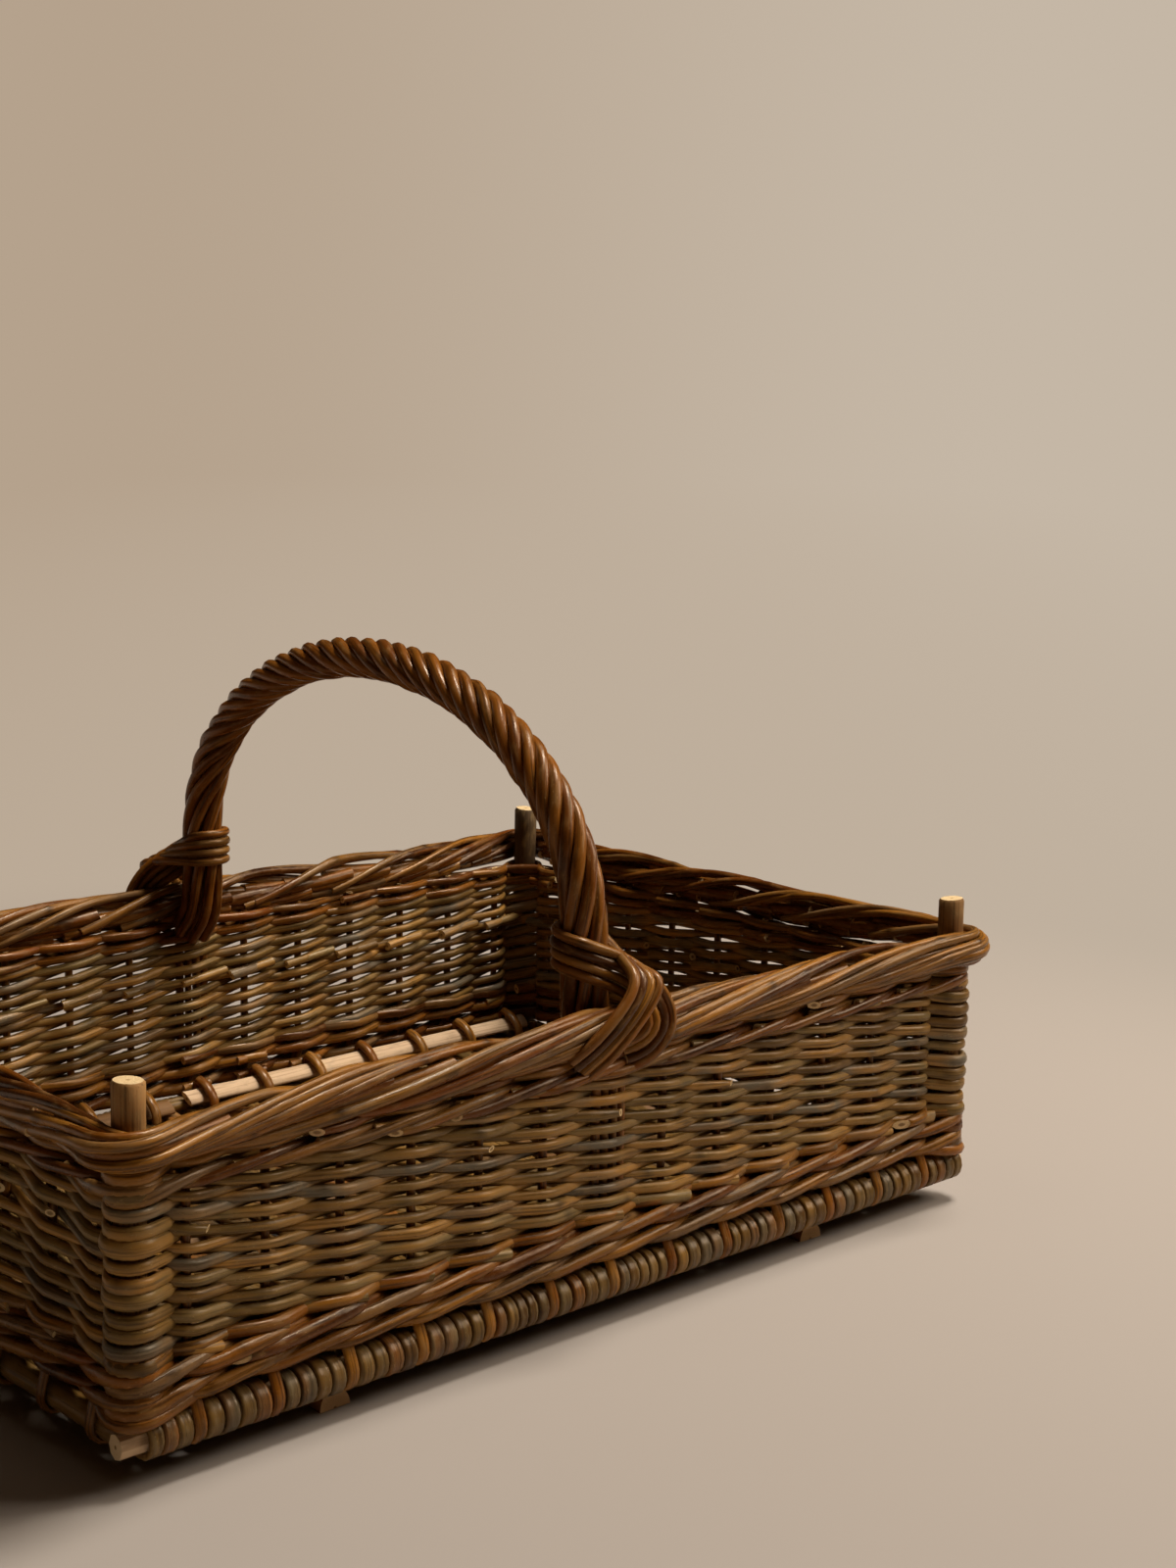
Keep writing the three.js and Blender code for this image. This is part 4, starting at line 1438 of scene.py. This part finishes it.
@dataclass
class BaseFrame:
    """Rails, end sticks, looped stakes, slats, runners and the weavers that tie the base."""

    plan: BasketPlan
    rng: np.random.Generator
    whittle_length: float = 14.0
    whittle_share: float = 0.93
    runner_reach: float = 13.0
    bend_spring: float = 1.8
    # Turns round a rail or stick, in degrees: first, past the last, and step.
    loop_turn: tuple[int, int, int] = (30, -166, -15)
    wrap_turn: tuple[int, int, int] = (-30, -286, -15)
    # Stakes; each pair is the place out from the wall's middle line and the height above the rails' middle.
    stake_shoulder: tuple[tuple[float, float], ...] = ((0, 20), (4, 12.5))
    long_tail: tuple[tuple[float, float], ...] = (
        (-9, 6), (-8.3, 20), (-17.7, 17), (-23.3, 12), (-24, 6))
    end_tail: tuple[tuple[float, float], ...] = ((-7.5, 5), (-9, 12))
    stake_heights: tuple[float, float] = (20, 36)
    stake_radii: tuple[float, float] = (2.9, 1.9)
    stake_tints: tuple[float, float] = (0.15, 0.6)
    flat_below: float = 24
    flat_over: float = 12
    loop_half_width: float = 2.9
    loop_half_thickness: float = 1.3
    loop_lift: float = 1.8
    loop_ease: float = 0.3
    # Slats of the floor, and the strips inside the long walls.
    slat_half_thickness: float = 2.5
    slat_ease: float = 0.2
    lath_wave: float = 0.5
    lath_wave_length: float = 61
    strip_half_width: float = 4.8
    strip_half_thickness: float = 2.0
    strip_inset: float = 15.0
    strip_tilt: float = 34.0
    strip_lift: float = 12.5
    strip_end_gap: float = 6
    pale_start: float = -12.0
    # The strip's other part takes the darker copy of peeled willow: painted shade.
    painted_shade_end: float = -22.0
    painted_shade_drop: float = 2.5
    # Weavers, flat where they wrap the rails and full between them.
    weaver_radius: float = 2.6
    weaver_sizes: tuple[float, float] = (0.9, 1.06)
    weaver_fill: float = 1.25
    weaver_lean: float = 0.6
    wrap_counts: tuple[int, ...] = (4, 5)
    wrap_odds: tuple[float, ...] = (0.6, 0.4)
    wraps_left: int = 3
    wraps_right: int = 4
    end_wrap_pitch: float = 6.6
    wrap_half_thickness: float = 1.7
    wrap_fills: tuple[float, float] = (0.8, 0.97)
    wrap_sizes: tuple[float, float] = (0.9, 1.15)
    wrap_pinches: tuple[float, float] = (0.35, 0.5)
    wrap_from: float = 13
    wrap_over: float = 10
    # Rods across the base at the stakes, and rods along its sides.
    cross_spring: float = 4.0
    cross_spread: float = 1.9
    packing_inset: tuple[float, float] = (5, 6)
    packing_lift: float = 8.5
    packing_trim: float = 0.02
    side_rod_taper: float = 1.15
    edge_rows: int = 3
    edge_pitch: float = 5.8
    edge_trim: float = 0.08
    edge_seed: int = 7

    def build(self) -> None:
        """Builds the base from its sticks to its runners."""
        for wall, node in zip(Wall, ("front_rail", "right_end_stick", "back_rail", "left_end_stick")):
            self._stick(wall, node)
            self._stakes(wall, node)
        self._slats()
        self._weavers()
        self._edge_rods()
        self._runners()

    def _stick(self, wall: Wall, node: str) -> None:
        """Builds the rail or end stick of a wall; a rail is whittled at its ends.

        Args:
            wall: The wall.
            node: CAD node of its rail or end stick.
        """
        low, high = node_box(node)
        across = 1 if wall.is_long else 0
        ends = np.array([[*low[:2], self.plan.base_z], [*high[:2], self.plan.base_z]])
        ends[:, across] = wall.out[across] * self._stick_reach(wall)
        line = resample(ends, STRAIGHT_STEP)
        reach = distances(line)
        radii = np.full(len(line), self.plan.rail_radius)
        if wall.is_long:
            from_end = np.minimum(reach, reach[-1] - reach)
            radii *= np.interp(from_end, (0, self.whittle_length), (self.whittle_share, 1))
        skin = Skin(self.rng, sides=8 if wall.is_long else 14, smooth=not wall.is_long)
        skin.add(Rod(line, np.stack([radii, radii], axis=1), self.rng.uniform(), UP))
        skin.place(f"{node}_stick", PEELED if wall.is_long else OLIVE, [node])

    def _stick_reach(self, wall: Wall) -> float:
        """Gives how far out the middle of a wall's rail or end stick is."""
        return self.plan.rail_y if wall.is_long else self.plan.half_x

    def _stakes(self, wall: Wall, node: str) -> None:
        """Builds a wall's stakes, each looped round the rail or end stick at its foot.

        Args:
            wall: The wall.
            node: CAD node of its rail or end stick.
        """
        _, high = node_box(node)
        base = self.plan.base_z
        reach, _ = self.plan.extents(wall)
        loop = self.plan.rail_radius + self.loop_lift
        turns = np.radians(np.arange(*self.loop_turn))
        shoulder = np.array(self.stake_shoulder) + (reach, base)
        middle = self._stick_reach(wall)
        bend = np.column_stack([middle + loop * np.cos(turns), base + loop * np.sin(turns)])
        tail = np.array(self.long_tail if wall.is_long else self.end_tail) + (reach, base)
        outs, heights = np.concatenate([[(reach, high[2])], shoulder, bend, tail]).T
        level = np.array([*wall.along, 0.0])
        skin = Skin(self.rng)
        for upright in self.plan.wall_stakes(wall):
            plan_points = np.outer(outs, wall.out) + (upright.centre @ wall.along) * wall.along
            line = relax(np.column_stack([plan_points, heights]), self.bend_spring, TIGHT_STEP)
            above = line[:, 2] - base
            flat = np.clip((self.flat_below - above) / self.flat_over, 0, 1)
            radius = np.interp(above, self.stake_heights, self.stake_radii)
            width = radius + (self.loop_half_width - radius) * flat
            thickness = radius + (self.loop_half_thickness - radius) * flat
            tint = self.rng.uniform(*self.stake_tints)
            skin.add(Rod(line, np.stack([width, thickness], axis=1), tint, level))
        skin.place(f"{wall.name.lower()}_stakes", BROWN, [node])

    def _slats(self) -> None:
        """Builds the floor slats in painted shade, and a strip inside each long wall, pale along one part
        and painted shade along the other.
        """
        for number, node in enumerate(SLAT_NODES, 1):
            low, high = node_box(node)
            middle = (low + high) / 2
            self._lath(f"slat_{number}", [node], SLAT_PAINTED_SHADE, middle[1], middle[2], (high - low)[1:] / 2, 0.0,
                       (low[0], high[0]))
        reach = self.plan.half_x - self.plan.post_radius - self.strip_end_gap
        half = np.array([self.strip_half_width, self.strip_half_thickness])
        z = self.plan.base_z + self.strip_lift
        # The pale part is peeled willow; the other part is the same wood painted darker as shade.
        strips = (("pale", PEELED, z, (self.pale_start, reach)),
                  ("painted_shade", SLAT_PAINTED_SHADE, z - self.painted_shade_drop, (-reach, self.painted_shade_end)))
        for side, rail in ((-1, "front_rail"), (1, "back_rail")):
            y = side * (self.plan.half_y - self.strip_inset)
            for label, finish, height, span in strips:
                self._lath(f"{rail}_{label}_strip", [rail], finish, y, height, half,
                           side * self.strip_tilt, span)

    def _lath(self, name: str, nodes: Sequence[str], finish: WillowFinish, y: float, z: float,
              half: np.ndarray, tilt: float, span: tuple[float, float]) -> None:
        """Builds one cleft lath along the length of the basket.

        Args:
            name: Name of the piece.
            nodes: CAD nodes that it stands for.
            finish: Its wood.
            y: Place across the basket.
            z: Height of its middle.
            half: Half its width and thickness.
            tilt: Degrees that its width is tilted from level.
            span: Its two ends along the basket.
        """
        line = straight([span[0], y, z], [span[1], y, z], LATH_STEP)
        waves = line[:, 0] / self.lath_wave_length + self.rng.uniform(0, PHASE_SPAN)
        line[:, 1] += self.lath_wave * np.sin(waves)
        angle = math.radians(tilt)
        level = np.array([0.0, math.cos(angle), math.sin(angle)])
        skin = Skin(self.rng, sides=14)
        radii = np.tile(half, (len(line), 1))
        skin.add(Rod(line, radii, self.rng.uniform(), level, slant=0.1, knotty=0.4))
        skin.place(name, finish, nodes)

    def _weaver_places(self) -> list[tuple[float, float]]:
        """Lists where the base weavers lie along the rails, between the loops of the stakes.

        Returns:
            Place and half width of each weaver's wrap.
        """
        stakes = [u.centre[0] for u in self.plan.wall_stakes(Wall.FRONT)]
        ease = self.loop_half_width + self.loop_ease
        places = []
        for left, right in zip(stakes, stakes[1:]):
            wraps = int(self.rng.choice(self.wrap_counts, p=self.wrap_odds))
            gap = (right - left - 2 * ease) / wraps
            places += [(left + ease + gap * (i + 0.5), gap / 2) for i in range(wraps)]
        gap = self.end_wrap_pitch
        places += [(stakes[0] - ease - gap * (i + 0.5), gap / 2) for i in range(self.wraps_left)]
        places += [(stakes[-1] + ease + gap * (i + 0.5), gap / 2) for i in range(self.wraps_right)]
        return sorted(places)

    def _weavers(self) -> None:
        """Builds the rods across the base, over and under the slats and round both rails."""
        slats = [np.mean(node_box(node), axis=0)[1] for node in SLAT_NODES]
        lift = self.slat_half_thickness + self.weaver_radius + self.slat_ease
        radius = self.plan.rail_radius + self.wrap_half_thickness
        skin = Skin(self.rng, sides=16)
        for number, (x, half_gap) in enumerate(self._weaver_places()):
            over = 1 if number % 2 else -1
            turns = np.radians(over * np.arange(*self.wrap_turn))
            front = [(-self.plan.rail_y + radius * math.cos(t), radius * math.sin(t)) for t in turns]
            back = [(-y, z) for y, z in front[::-1]]
            middle = [(y, over * lift * (-1) ** (place + 1)) for place, y in enumerate(slats)]
            section = np.array([*front, *middle, *back])
            lean = np.linspace(-self.weaver_lean, self.weaver_lean, len(section)) * self.rng.uniform(-1, 1)
            points = np.column_stack([x + lean, section[:, 0], section[:, 1] + self.plan.base_z])
            line = relax(points, self.bend_spring, TIGHT_STEP)
            thick = self.weaver_radius * self.rng.uniform(*self.weaver_sizes)
            past = np.abs(line[:, 1]) - self.plan.rail_y + self.wrap_from
            wrapped = np.clip(past / self.wrap_over, 0, 1)
            wrap_fill = self.rng.uniform(*self.wrap_fills)
            wrap_depth = self.wrap_half_thickness * self.rng.uniform(*self.wrap_sizes)
            fill = self.weaver_fill + (wrap_fill - self.weaver_fill) * wrapped
            depth = thick + (wrap_depth - thick) * wrapped
            skin.add(Rod(line, np.stack([half_gap * fill, depth], axis=1), self.rng.uniform(), ALONG_X,
                         pinch=self.rng.uniform(*self.wrap_pinches)))
        for rod in (*self._cross_rods(slats, lift), *self._packing_rods()):
            skin.add(rod)
        skin.place("base_weavers", WRAP, ["base_weaver"])

    def _cross_rods(self, slats: Sequence[float], lift: float) -> list[Rod]:
        """Lists the rods across the base at the stakes, between the rails.

        Args:
            slats: Place of each floor slat across the basket.
            lift: How far above or below a slat's middle a rod passes it.

        Returns:
            The rods.
        """
        reach = self.plan.rail_y - self.plan.rail_radius - 2
        rods = []
        for number, stake in enumerate(self.plan.wall_stakes(Wall.FRONT)):
            over = 1 if number % 2 else -1
            passes = [(y, over * lift * (-1) ** place) for place, y in enumerate(slats)]
            section = [(-reach, 0.0), *passes, (reach, 0.0)]
            points = np.array([[stake.centre[0], y, self.plan.base_z + z] for y, z in section])
            line = relax(points, self.cross_spring, GENTLE_STEP)
            radii = np.tile([self.loop_half_width + self.cross_spread, self.weaver_radius], (len(line), 1))
            rods.append(Rod(line, radii, self.rng.uniform(), ALONG_X))
        return rods

    def _side_lines(self, inset: float, trim: float) -> list[np.ndarray]:
        """Traces straight lines over the base, along its four sides from the front.

        Args:
            inset: Distance inside the packing rods.
            trim: Share of a side's length that is left free at each end.

        Returns:
            The four lines.
        """
        x, y = np.array([self.plan.half_x, self.plan.half_y]) - self.packing_inset - inset
        z = self.plan.base_z + self.packing_lift
        corners = np.array([[-x, -y, z], [x, -y, z], [x, y, z], [-x, y, z]])
        lines = []
        for first, second in zip(corners, np.roll(corners, -1, axis=0)):
            free = (second - first) * trim
            lines.append(straight(first + free, second - free, STRAIGHT_STEP))
        return lines

    def _side_rod(self, line: np.ndarray, tint: float) -> Rod:
        """Makes a rod that lies along a side of the base."""
        butt = self.weaver_radius * self.side_rod_taper
        return Rod.tapered(line, butt, self.weaver_radius, tint, UP)

    def _packing_rods(self) -> list[Rod]:
        """Lists the straight rods just inside the stakes, over the rails and end sticks."""
        return [self._side_rod(line, self.rng.uniform())
                for line in self._side_lines(0.0, self.packing_trim)]

    def _edge_rods(self) -> None:
        """Fills the base beside the packing rods: one rod along a long side, more along an end."""
        rng = np.random.default_rng(self.edge_seed)
        skin = Skin(rng)
        for row in range(1, self.edge_rows + 1):
            for side, line in enumerate(self._side_lines(row * self.edge_pitch, self.edge_trim)):
                if row == 1 or side % 2:
                    skin.add(self._side_rod(line, rng.uniform()))
        skin.place("base_edge_rods", WRAP, ["base_weaver"])

    def _runners(self) -> None:
        """Builds the half-round runners that the basket stands on."""
        for node in ("left_runner", "right_runner"):
            low, high = node_box(node)
            x = (low[0] + high[0]) / 2
            half, height = (high[0] - low[0]) / 2, high[2] - low[2]
            line = straight([x, low[1] - self.runner_reach, low[2]],
                            [x, high[1] + self.runner_reach, low[2]], STRAIGHT_STEP)
            skin = Skin(self.rng, sides=24)
            skin.add(Rod(line, np.tile([half, height], (len(line), 1)), self.rng.uniform(), ALONG_X,
                         slant=0.05, knotty=0.5))
            for ring in skin.points:
                ring[:, 2] = np.maximum(ring[:, 2], low[2])
            skin.place(f"{node}_stick", CLEFT, [node])


@dataclass
class RopedHandle:
    """The bow across the middle, roped with thin rods, and the bindings at its feet."""

    plan: BasketPlan
    rng: np.random.Generator
    bow_radius: float = 4.5
    spring_z: float = 172.0
    strands: int = 7
    strand_radius: float = 2.9
    top_reach: float = 7.0
    foot_reach: float = 8.1
    foot_z: float = 118.0
    tuck_out: float = 11.0
    lead: float = 80.0
    settle: float = 120.0
    binding_rods: int = 4
    binding_radius: float = 2.3
    binding_spacing: float = 4.8
    leg_places: tuple[float, ...] = (-5.2, 5.2, 9.8)
    leg_foot: float = 58.0
    foot_rise: float = 13.0
    loosest: float = 0.12
    tightening: float = 1.5
    bow_drop: float = 3.0
    bow_tint: float = 0.3
    bow_points: int = 160
    leg_rise: float = 6.0
    leg_radii: tuple[float, float] = (2.0, 2.3)
    leg_tints: tuple[float, float] = (0, 0.5)
    spring: float = 4.0
    strand_slip: float = 0.05
    strand_wave: float = 0.02
    strand_wave_length: float = 17
    strand_sizes: tuple[float, float] = (0.94, 1.06)
    strand_taper: tuple[float, float] = (1.06, 0.94)
    strand_tints: tuple[float, float] = (0, 0.38)
    binding_sizes: tuple[float, float] = (0.95, 1.08)
    binding_taper: float = 0.92
    binding_face: float = 13.0
    half_span: float = field(init=False)
    rise: float = field(init=False)

    def __post_init__(self) -> None:
        """Reads the bow's span and height."""
        _, high = node_box("handle_bow")
        self.half_span = high[1] - self.bow_radius
        self.rise = high[2] - self.bow_radius - self.spring_z

    def build(self) -> None:
        """Builds the bow with its legs in the weave, the roping strands and both bindings."""
        skin = Skin(self.rng, sides=12)
        bow = self._arch(self.foot_z - self.bow_drop)
        skin.add(Rod.tapered(bow, self.bow_radius, self.bow_radius, self.bow_tint, ALONG_X))
        for side in (1, -1):
            for x in self.leg_places:
                y = side * self.plan.half_y
                top = self.foot_z + self.leg_rise
                leg = straight([x, y, self.leg_foot], [x, y, top], STRAIGHT_STEP)
                skin.add(Rod.tapered(leg, *self.leg_radii, self.rng.uniform(*self.leg_tints), ALONG_X))
        skin.place("bow_core", BROWN, ["handle_bow"])
        self._rope()
        for name, turn in (("front", 1), ("back", -1)):
            self._binding(f"{name}_handle_binding_rods", turn, f"{name}_handle_binding")

    def _arch(self, foot_z: float) -> np.ndarray:
        """Traces the bow from its front foot over the top to its back foot.

        Args:
            foot_z: Height of its feet.

        Returns:
            Points of the line.
        """
        sweep = np.linspace(math.pi, 0, self.bow_points)
        arch = np.column_stack([np.zeros(len(sweep)), self.half_span * np.cos(sweep),
                                self.spring_z + self.rise * np.sin(sweep)])
        tuck, knee = self.half_span + self.tuck_out, foot_z + self.foot_rise
        front = [[0, -tuck, foot_z], [0, -self.half_span - 1, knee]]
        back = [[0, self.half_span + 1, knee], [0, tuck, foot_z]]
        return relax(np.concatenate([front, arch, back]), self.spring, TIGHT_STEP)

    def _rope(self) -> None:
        """Twists the strands round the bow, tightest over the top."""
        line = self._arch(self.foot_z)
        along = distances(line)
        from_foot = np.minimum(along, along[-1] - along)
        near_top = np.clip(from_foot / self.settle, 0, 1)
        tightness = self.loosest + (1 - self.loosest) * near_top ** self.tightening
        rate = tightness * 2 * math.pi / self.lead
        twist = np.concatenate([[0.0], np.cumsum(rate[1:] * np.diff(along))])
        reach = self.foot_reach + (self.top_reach - self.foot_reach) * near_top
        lift = np.cross(directions(line), ALONG_X)
        nodes = numbered("handle_rope_rod", 1, 6)
        for number in range(self.strands):
            slip = self.rng.uniform(-self.strand_slip, self.strand_slip)
            angle = twist + 2 * math.pi * number / self.strands + slip
            waves = np.sin(along / self.strand_wave_length + self.rng.uniform(0, PHASE_SPAN))
            puff = reach * (1 + self.strand_wave * waves)
            sideways, upward = puff * np.cos(angle), puff * np.sin(angle)
            strand = line + ALONG_X * sideways[:, None] + lift * upward[:, None]
            radius = self.strand_radius * self.rng.uniform(*self.strand_sizes)
            butt, tip = (radius * share for share in self.strand_taper)
            skin = Skin(self.rng)
            skin.add(Rod.tapered(strand, butt, tip, self.rng.uniform(*self.strand_tints)))
            skin.place(f"handle_strand_{number + 1}", BROWN, [nodes[number % len(nodes)]])

    def _binding(self, name: str, turn: int, node: str) -> None:
        """Crosses a band of rods over the border and round the handle's foot.

        Args:
            name: Name of the piece.
            turn: 1 for the front foot, -1 for the back one.
            node: CAD node that it stands for.
        """
        low, high = node_box(*BORDER_NODES)
        top, bottom = high[2], low[2]
        leg = self.half_span - self.plan.half_y
        coil = self.foot_reach + self.strand_radius + self.binding_radius
        face = self.binding_face
        # Each row: place to the right, place outside the wall, height, and the band's width direction.
        route = [
            (-21, 6.0, bottom - 5, (-0.75, 0, 0.6)),
            (-14, face - 1, bottom + 3, (-0.85, 0, 0.5)),
            (-5, face + 2, top - 7, (-0.9, 0, 0.4)),
            (5, face + 3, top + 3, (-0.95, 0, 0.3)),
            (12, face + 1.5, top + 12, (-0.95, -0.1, 0.2)),
            (coil, leg + 6, top + 20, (-0.4, -0.5, 0.7)),
            (coil * 0.8, leg - coil * 0.65, top + 23, (0, 0, 1)),
            (0, leg - coil, top + 23, (0, 0, 1)),
            (-coil * 0.75, leg - coil * 0.7, top + 23, (0, 0, 1)),
            (-coil, leg, top + 22, (0, 0, 1)),
            (-coil * 0.7, leg + coil * 0.75, top + 20, (0, 0, 1)),
            (0, leg + coil, top + 16, (0.1, 0, 1)),
            (9, leg + coil + 1, top + 12, (0.4, 0, 0.9)),
            (17, 6.0, top + 5, (0.8, 0.2, 0.5)),
            (22, face - 2, top - 4, (1, 0, 0.1)),
            (22, face, bottom + 8, (0.9, 0, -0.3)),
            (15, 10.0, bottom - 1, (0.6, 0, -0.7)),
            (7, 5.0, bottom - 4, (0.3, 0, -0.9)),
        ]
        skin = Skin(self.rng)
        for number in range(self.binding_rods):
            shift = (number - (self.binding_rods - 1) / 2) * self.binding_spacing
            points = []
            for x, out, z, width in route:
                spot = np.array([x, out, z]) + np.array(width) * shift
                points.append([turn * spot[0], -turn * (self.plan.half_y + spot[1]), spot[2]])
            line = relax(np.array(points), self.spring, TIGHT_STEP)
            radius = self.binding_radius * self.rng.uniform(*self.binding_sizes)
            skin.add(Rod.tapered(line, radius, radius * self.binding_taper, self.rng.uniform()))
        skin.place(name, BROWN, [node])


def looking(place: Sequence[float], forward: Sequence[float], roll: float) -> Matrix:
    """Finds the placing of a camera or light that looks along a direction.

    Args:
        place: Where it is.
        forward: Where it looks.
        roll: Its turn about that direction, in degrees.

    Returns:
        Its world matrix.
    """
    forward = np.array(forward) / np.linalg.norm(forward)
    right = np.cross(forward, UP)
    right /= np.linalg.norm(right)
    up = np.cross(right, forward)
    turn = math.radians(roll)
    across = right * math.cos(turn) + up * math.sin(turn)
    upright = up * math.cos(turn) - right * math.sin(turn)
    matrix = np.eye(4)
    matrix[:3] = np.stack([across, upright, -forward, place], axis=1)
    return Matrix(matrix.tolist())


@dataclass(frozen=True)
class Lamp:
    """A square soft light: its place, the point that it faces, its side, power and colour."""

    name: str
    place: Point
    aim: Point
    size: float
    watts: float
    colour: Point

    def hang(self) -> None:
        """Puts the light into the scene."""
        data = bpy.data.lights.new(self.name, "AREA")
        data.size = self.size
        data.energy = self.watts
        data.color = self.colour
        lamp = bpy.data.objects.new(self.name, data)
        bpy.context.scene.collection.objects.link(lamp)
        lamp.matrix_world = looking(self.place, np.subtract(self.aim, self.place), 0.0)


@dataclass
class Studio:
    """Seamless floor and backdrop, soft lights and the camera at the photograph's viewing angle."""

    floor_colour: str = "#a69e97"
    # Glow of the backdrop and the far floor: painted light, darker to the left of the view and brighter to
    # the right.
    backdrop_left: str = "#b5a28d"
    backdrop_right: str = "#c5b7a6"
    fade_from: float = 0.4
    fade_to: float = 0.85
    backdrop_radius: float = 9.0
    floor_rings: tuple[float, ...] = (0.4, 0.8, 1.4, 2.2, 4.0)
    dome_turn: tuple[int, int, int] = (84, -8, -6)
    right_of_view: tuple[float, float] = (0.72, -0.69)
    blend_reach: float = 2.0
    paper_roughness: float = 0.9
    lamps: tuple[Lamp, ...] = (
        Lamp("key", (1.0, -0.3, 2.8), (0.0, 0.0, 0.05), 0.75, 91.0, (1.0, 0.92, 0.82)),
        Lamp("top", (-0.3, 0.15, 1.8), (0.1, 0.0, 0.05), 0.6, 0.9, (1.0, 0.84, 0.66)),
        Lamp("fill", (1.25, -0.9, 1.2), (0.15, 0.0, 0.1), 0.8, 19.0, (1.0, 0.87, 0.72)),
    )
    room_colour: str = "#ffc183"
    room_light: float = 0.03
    camera_place: Point = (-0.68716, -0.86344, 0.40673)
    camera_forward: Point = (0.6815, 0.7122, -0.1685)
    camera_roll: float = 1.030
    lens: float = 54.07
    sensor: float = 36.0

    def build(self) -> None:
        """Builds the floor, the backdrop, the lights and the camera."""
        paper = self._paper()
        rings = [(radius, 0.0) for radius in (*self.floor_rings, self.backdrop_radius)]
        self._round("studio_floor", (0.0, 0.0, 0.0), rings, paper)
        bends = np.radians(np.arange(*self.dome_turn))
        dome = [(self.backdrop_radius * math.cos(b), self.backdrop_radius * math.sin(b)) for b in bends]
        backdrop = self._round("studio_backdrop", (0.0, 0.0, self.backdrop_radius), dome, paper)
        backdrop.visible_diffuse = False
        backdrop.visible_glossy = False
        backdrop.visible_shadow = False
        for lamp in self.lamps:
            lamp.hang()
        self._world()
        self._camera()

    @staticmethod
    def _round(name: str, middle: Point, rings: Sequence[tuple[float, float]],
               material: bpy.types.Material) -> bpy.types.Object:
        """Builds a round surface about the upright axis.

        Args:
            name: Name of the piece.
            middle: Its middle point.
            rings: Radius and height of each ring, from the middle out.
            material: What it is made of.

        Returns:
            The object.
        """
        turns = 96
        points = [middle]
        for radius, z in rings:
            points += [(radius * math.cos(a), radius * math.sin(a), z)
                       for a in np.arange(turns) * 2 * math.pi / turns]
        faces = [(0, 1 + i, 1 + (i + 1) % turns) for i in range(turns)]
        for low in range(1, 1 + (len(rings) - 1) * turns, turns):
            high = low + turns
            faces += [(low + i, high + i, high + (i + 1) % turns, low + (i + 1) % turns)
                      for i in range(turns)]
        mesh = bpy.data.meshes.new(name)
        mesh.from_pydata(points, [], faces)
        mesh.materials.append(material)
        surface = bpy.data.objects.new(name, mesh)
        bpy.context.scene.collection.objects.link(surface)
        return surface

    def _paper(self) -> bpy.types.Material:
        """Makes the paper of floor and backdrop; away from the basket it glows as painted light, darker to
        the left of the view and brighter to the right.

        Returns:
            The material.
        """
        material = bpy.data.materials.new("studio_paper")
        material.use_nodes = True
        graph = NodeGraph(material.node_tree)
        place = graph.node("ShaderNodeNewGeometry", {}, {}).outputs["Position"]
        x, y, _ = graph.split(place)
        away = graph.step(x * x + y * y, self.fade_from ** 2, self.fade_to ** 2)
        # Painted light: the glow brightens towards the right of the view.
        right_x, right_y = self.right_of_view
        side = graph.step(right_x * x + right_y * y, -self.blend_reach, self.blend_reach)
        painted_glow = graph.mix(side, linear(self.backdrop_left), linear(self.backdrop_right))
        shader = graph.node("ShaderNodeBsdfPrincipled", {}, {
            "Base Color": graph.mix(away, linear(self.floor_colour), BLACK),
            "Roughness": self.paper_roughness, "Specular IOR Level": 0.0,
            "Emission Color": graph.mix(away, BLACK, painted_glow), "Emission Strength": 1.0})
        graph.node("ShaderNodeOutputMaterial", {}, {0: shader.outputs[0]})
        return material

    def _world(self) -> None:
        """Gives the room a faint even light."""
        world = bpy.data.worlds.new("studio_room")
        world.use_nodes = True
        background = world.node_tree.nodes["Background"]
        background.inputs["Color"].default_value = linear(self.room_colour)
        background.inputs["Strength"].default_value = self.room_light
        bpy.context.scene.world = world
        bpy.context.scene.view_settings.view_transform = "Standard"

    def _camera(self) -> None:
        """Sets the camera where the photograph was taken."""
        data = bpy.data.cameras.new("photo_camera")
        data.sensor_fit = "VERTICAL"
        data.sensor_height = self.sensor
        data.lens = self.lens
        camera = bpy.data.objects.new("photo_camera", data)
        bpy.context.scene.collection.objects.link(camera)
        camera.matrix_world = looking(self.camera_place, self.camera_forward, self.camera_roll)
        bpy.context.scene.camera = camera


def main() -> None:
    """Builds the basket's sub-assemblies and the studio."""
    logging.basicConfig(level=logging.INFO, format="%(name)s %(message)s")
    rng = np.random.default_rng(SEED)
    plan = BasketPlan()
    builders: list[Callable[[], None]] = [
        BaseFrame(plan, rng).build,
        CornerPosts(plan, rng).build,
        Wales(plan, rng).build,
        RandedSides(plan, rng).build,
        RolledBorder(plan, rng).build,
        RopedHandle(plan, rng).build,
        Studio().build,
    ]
    for build in builders:
        build()


if __name__ == "__main__":
    main()
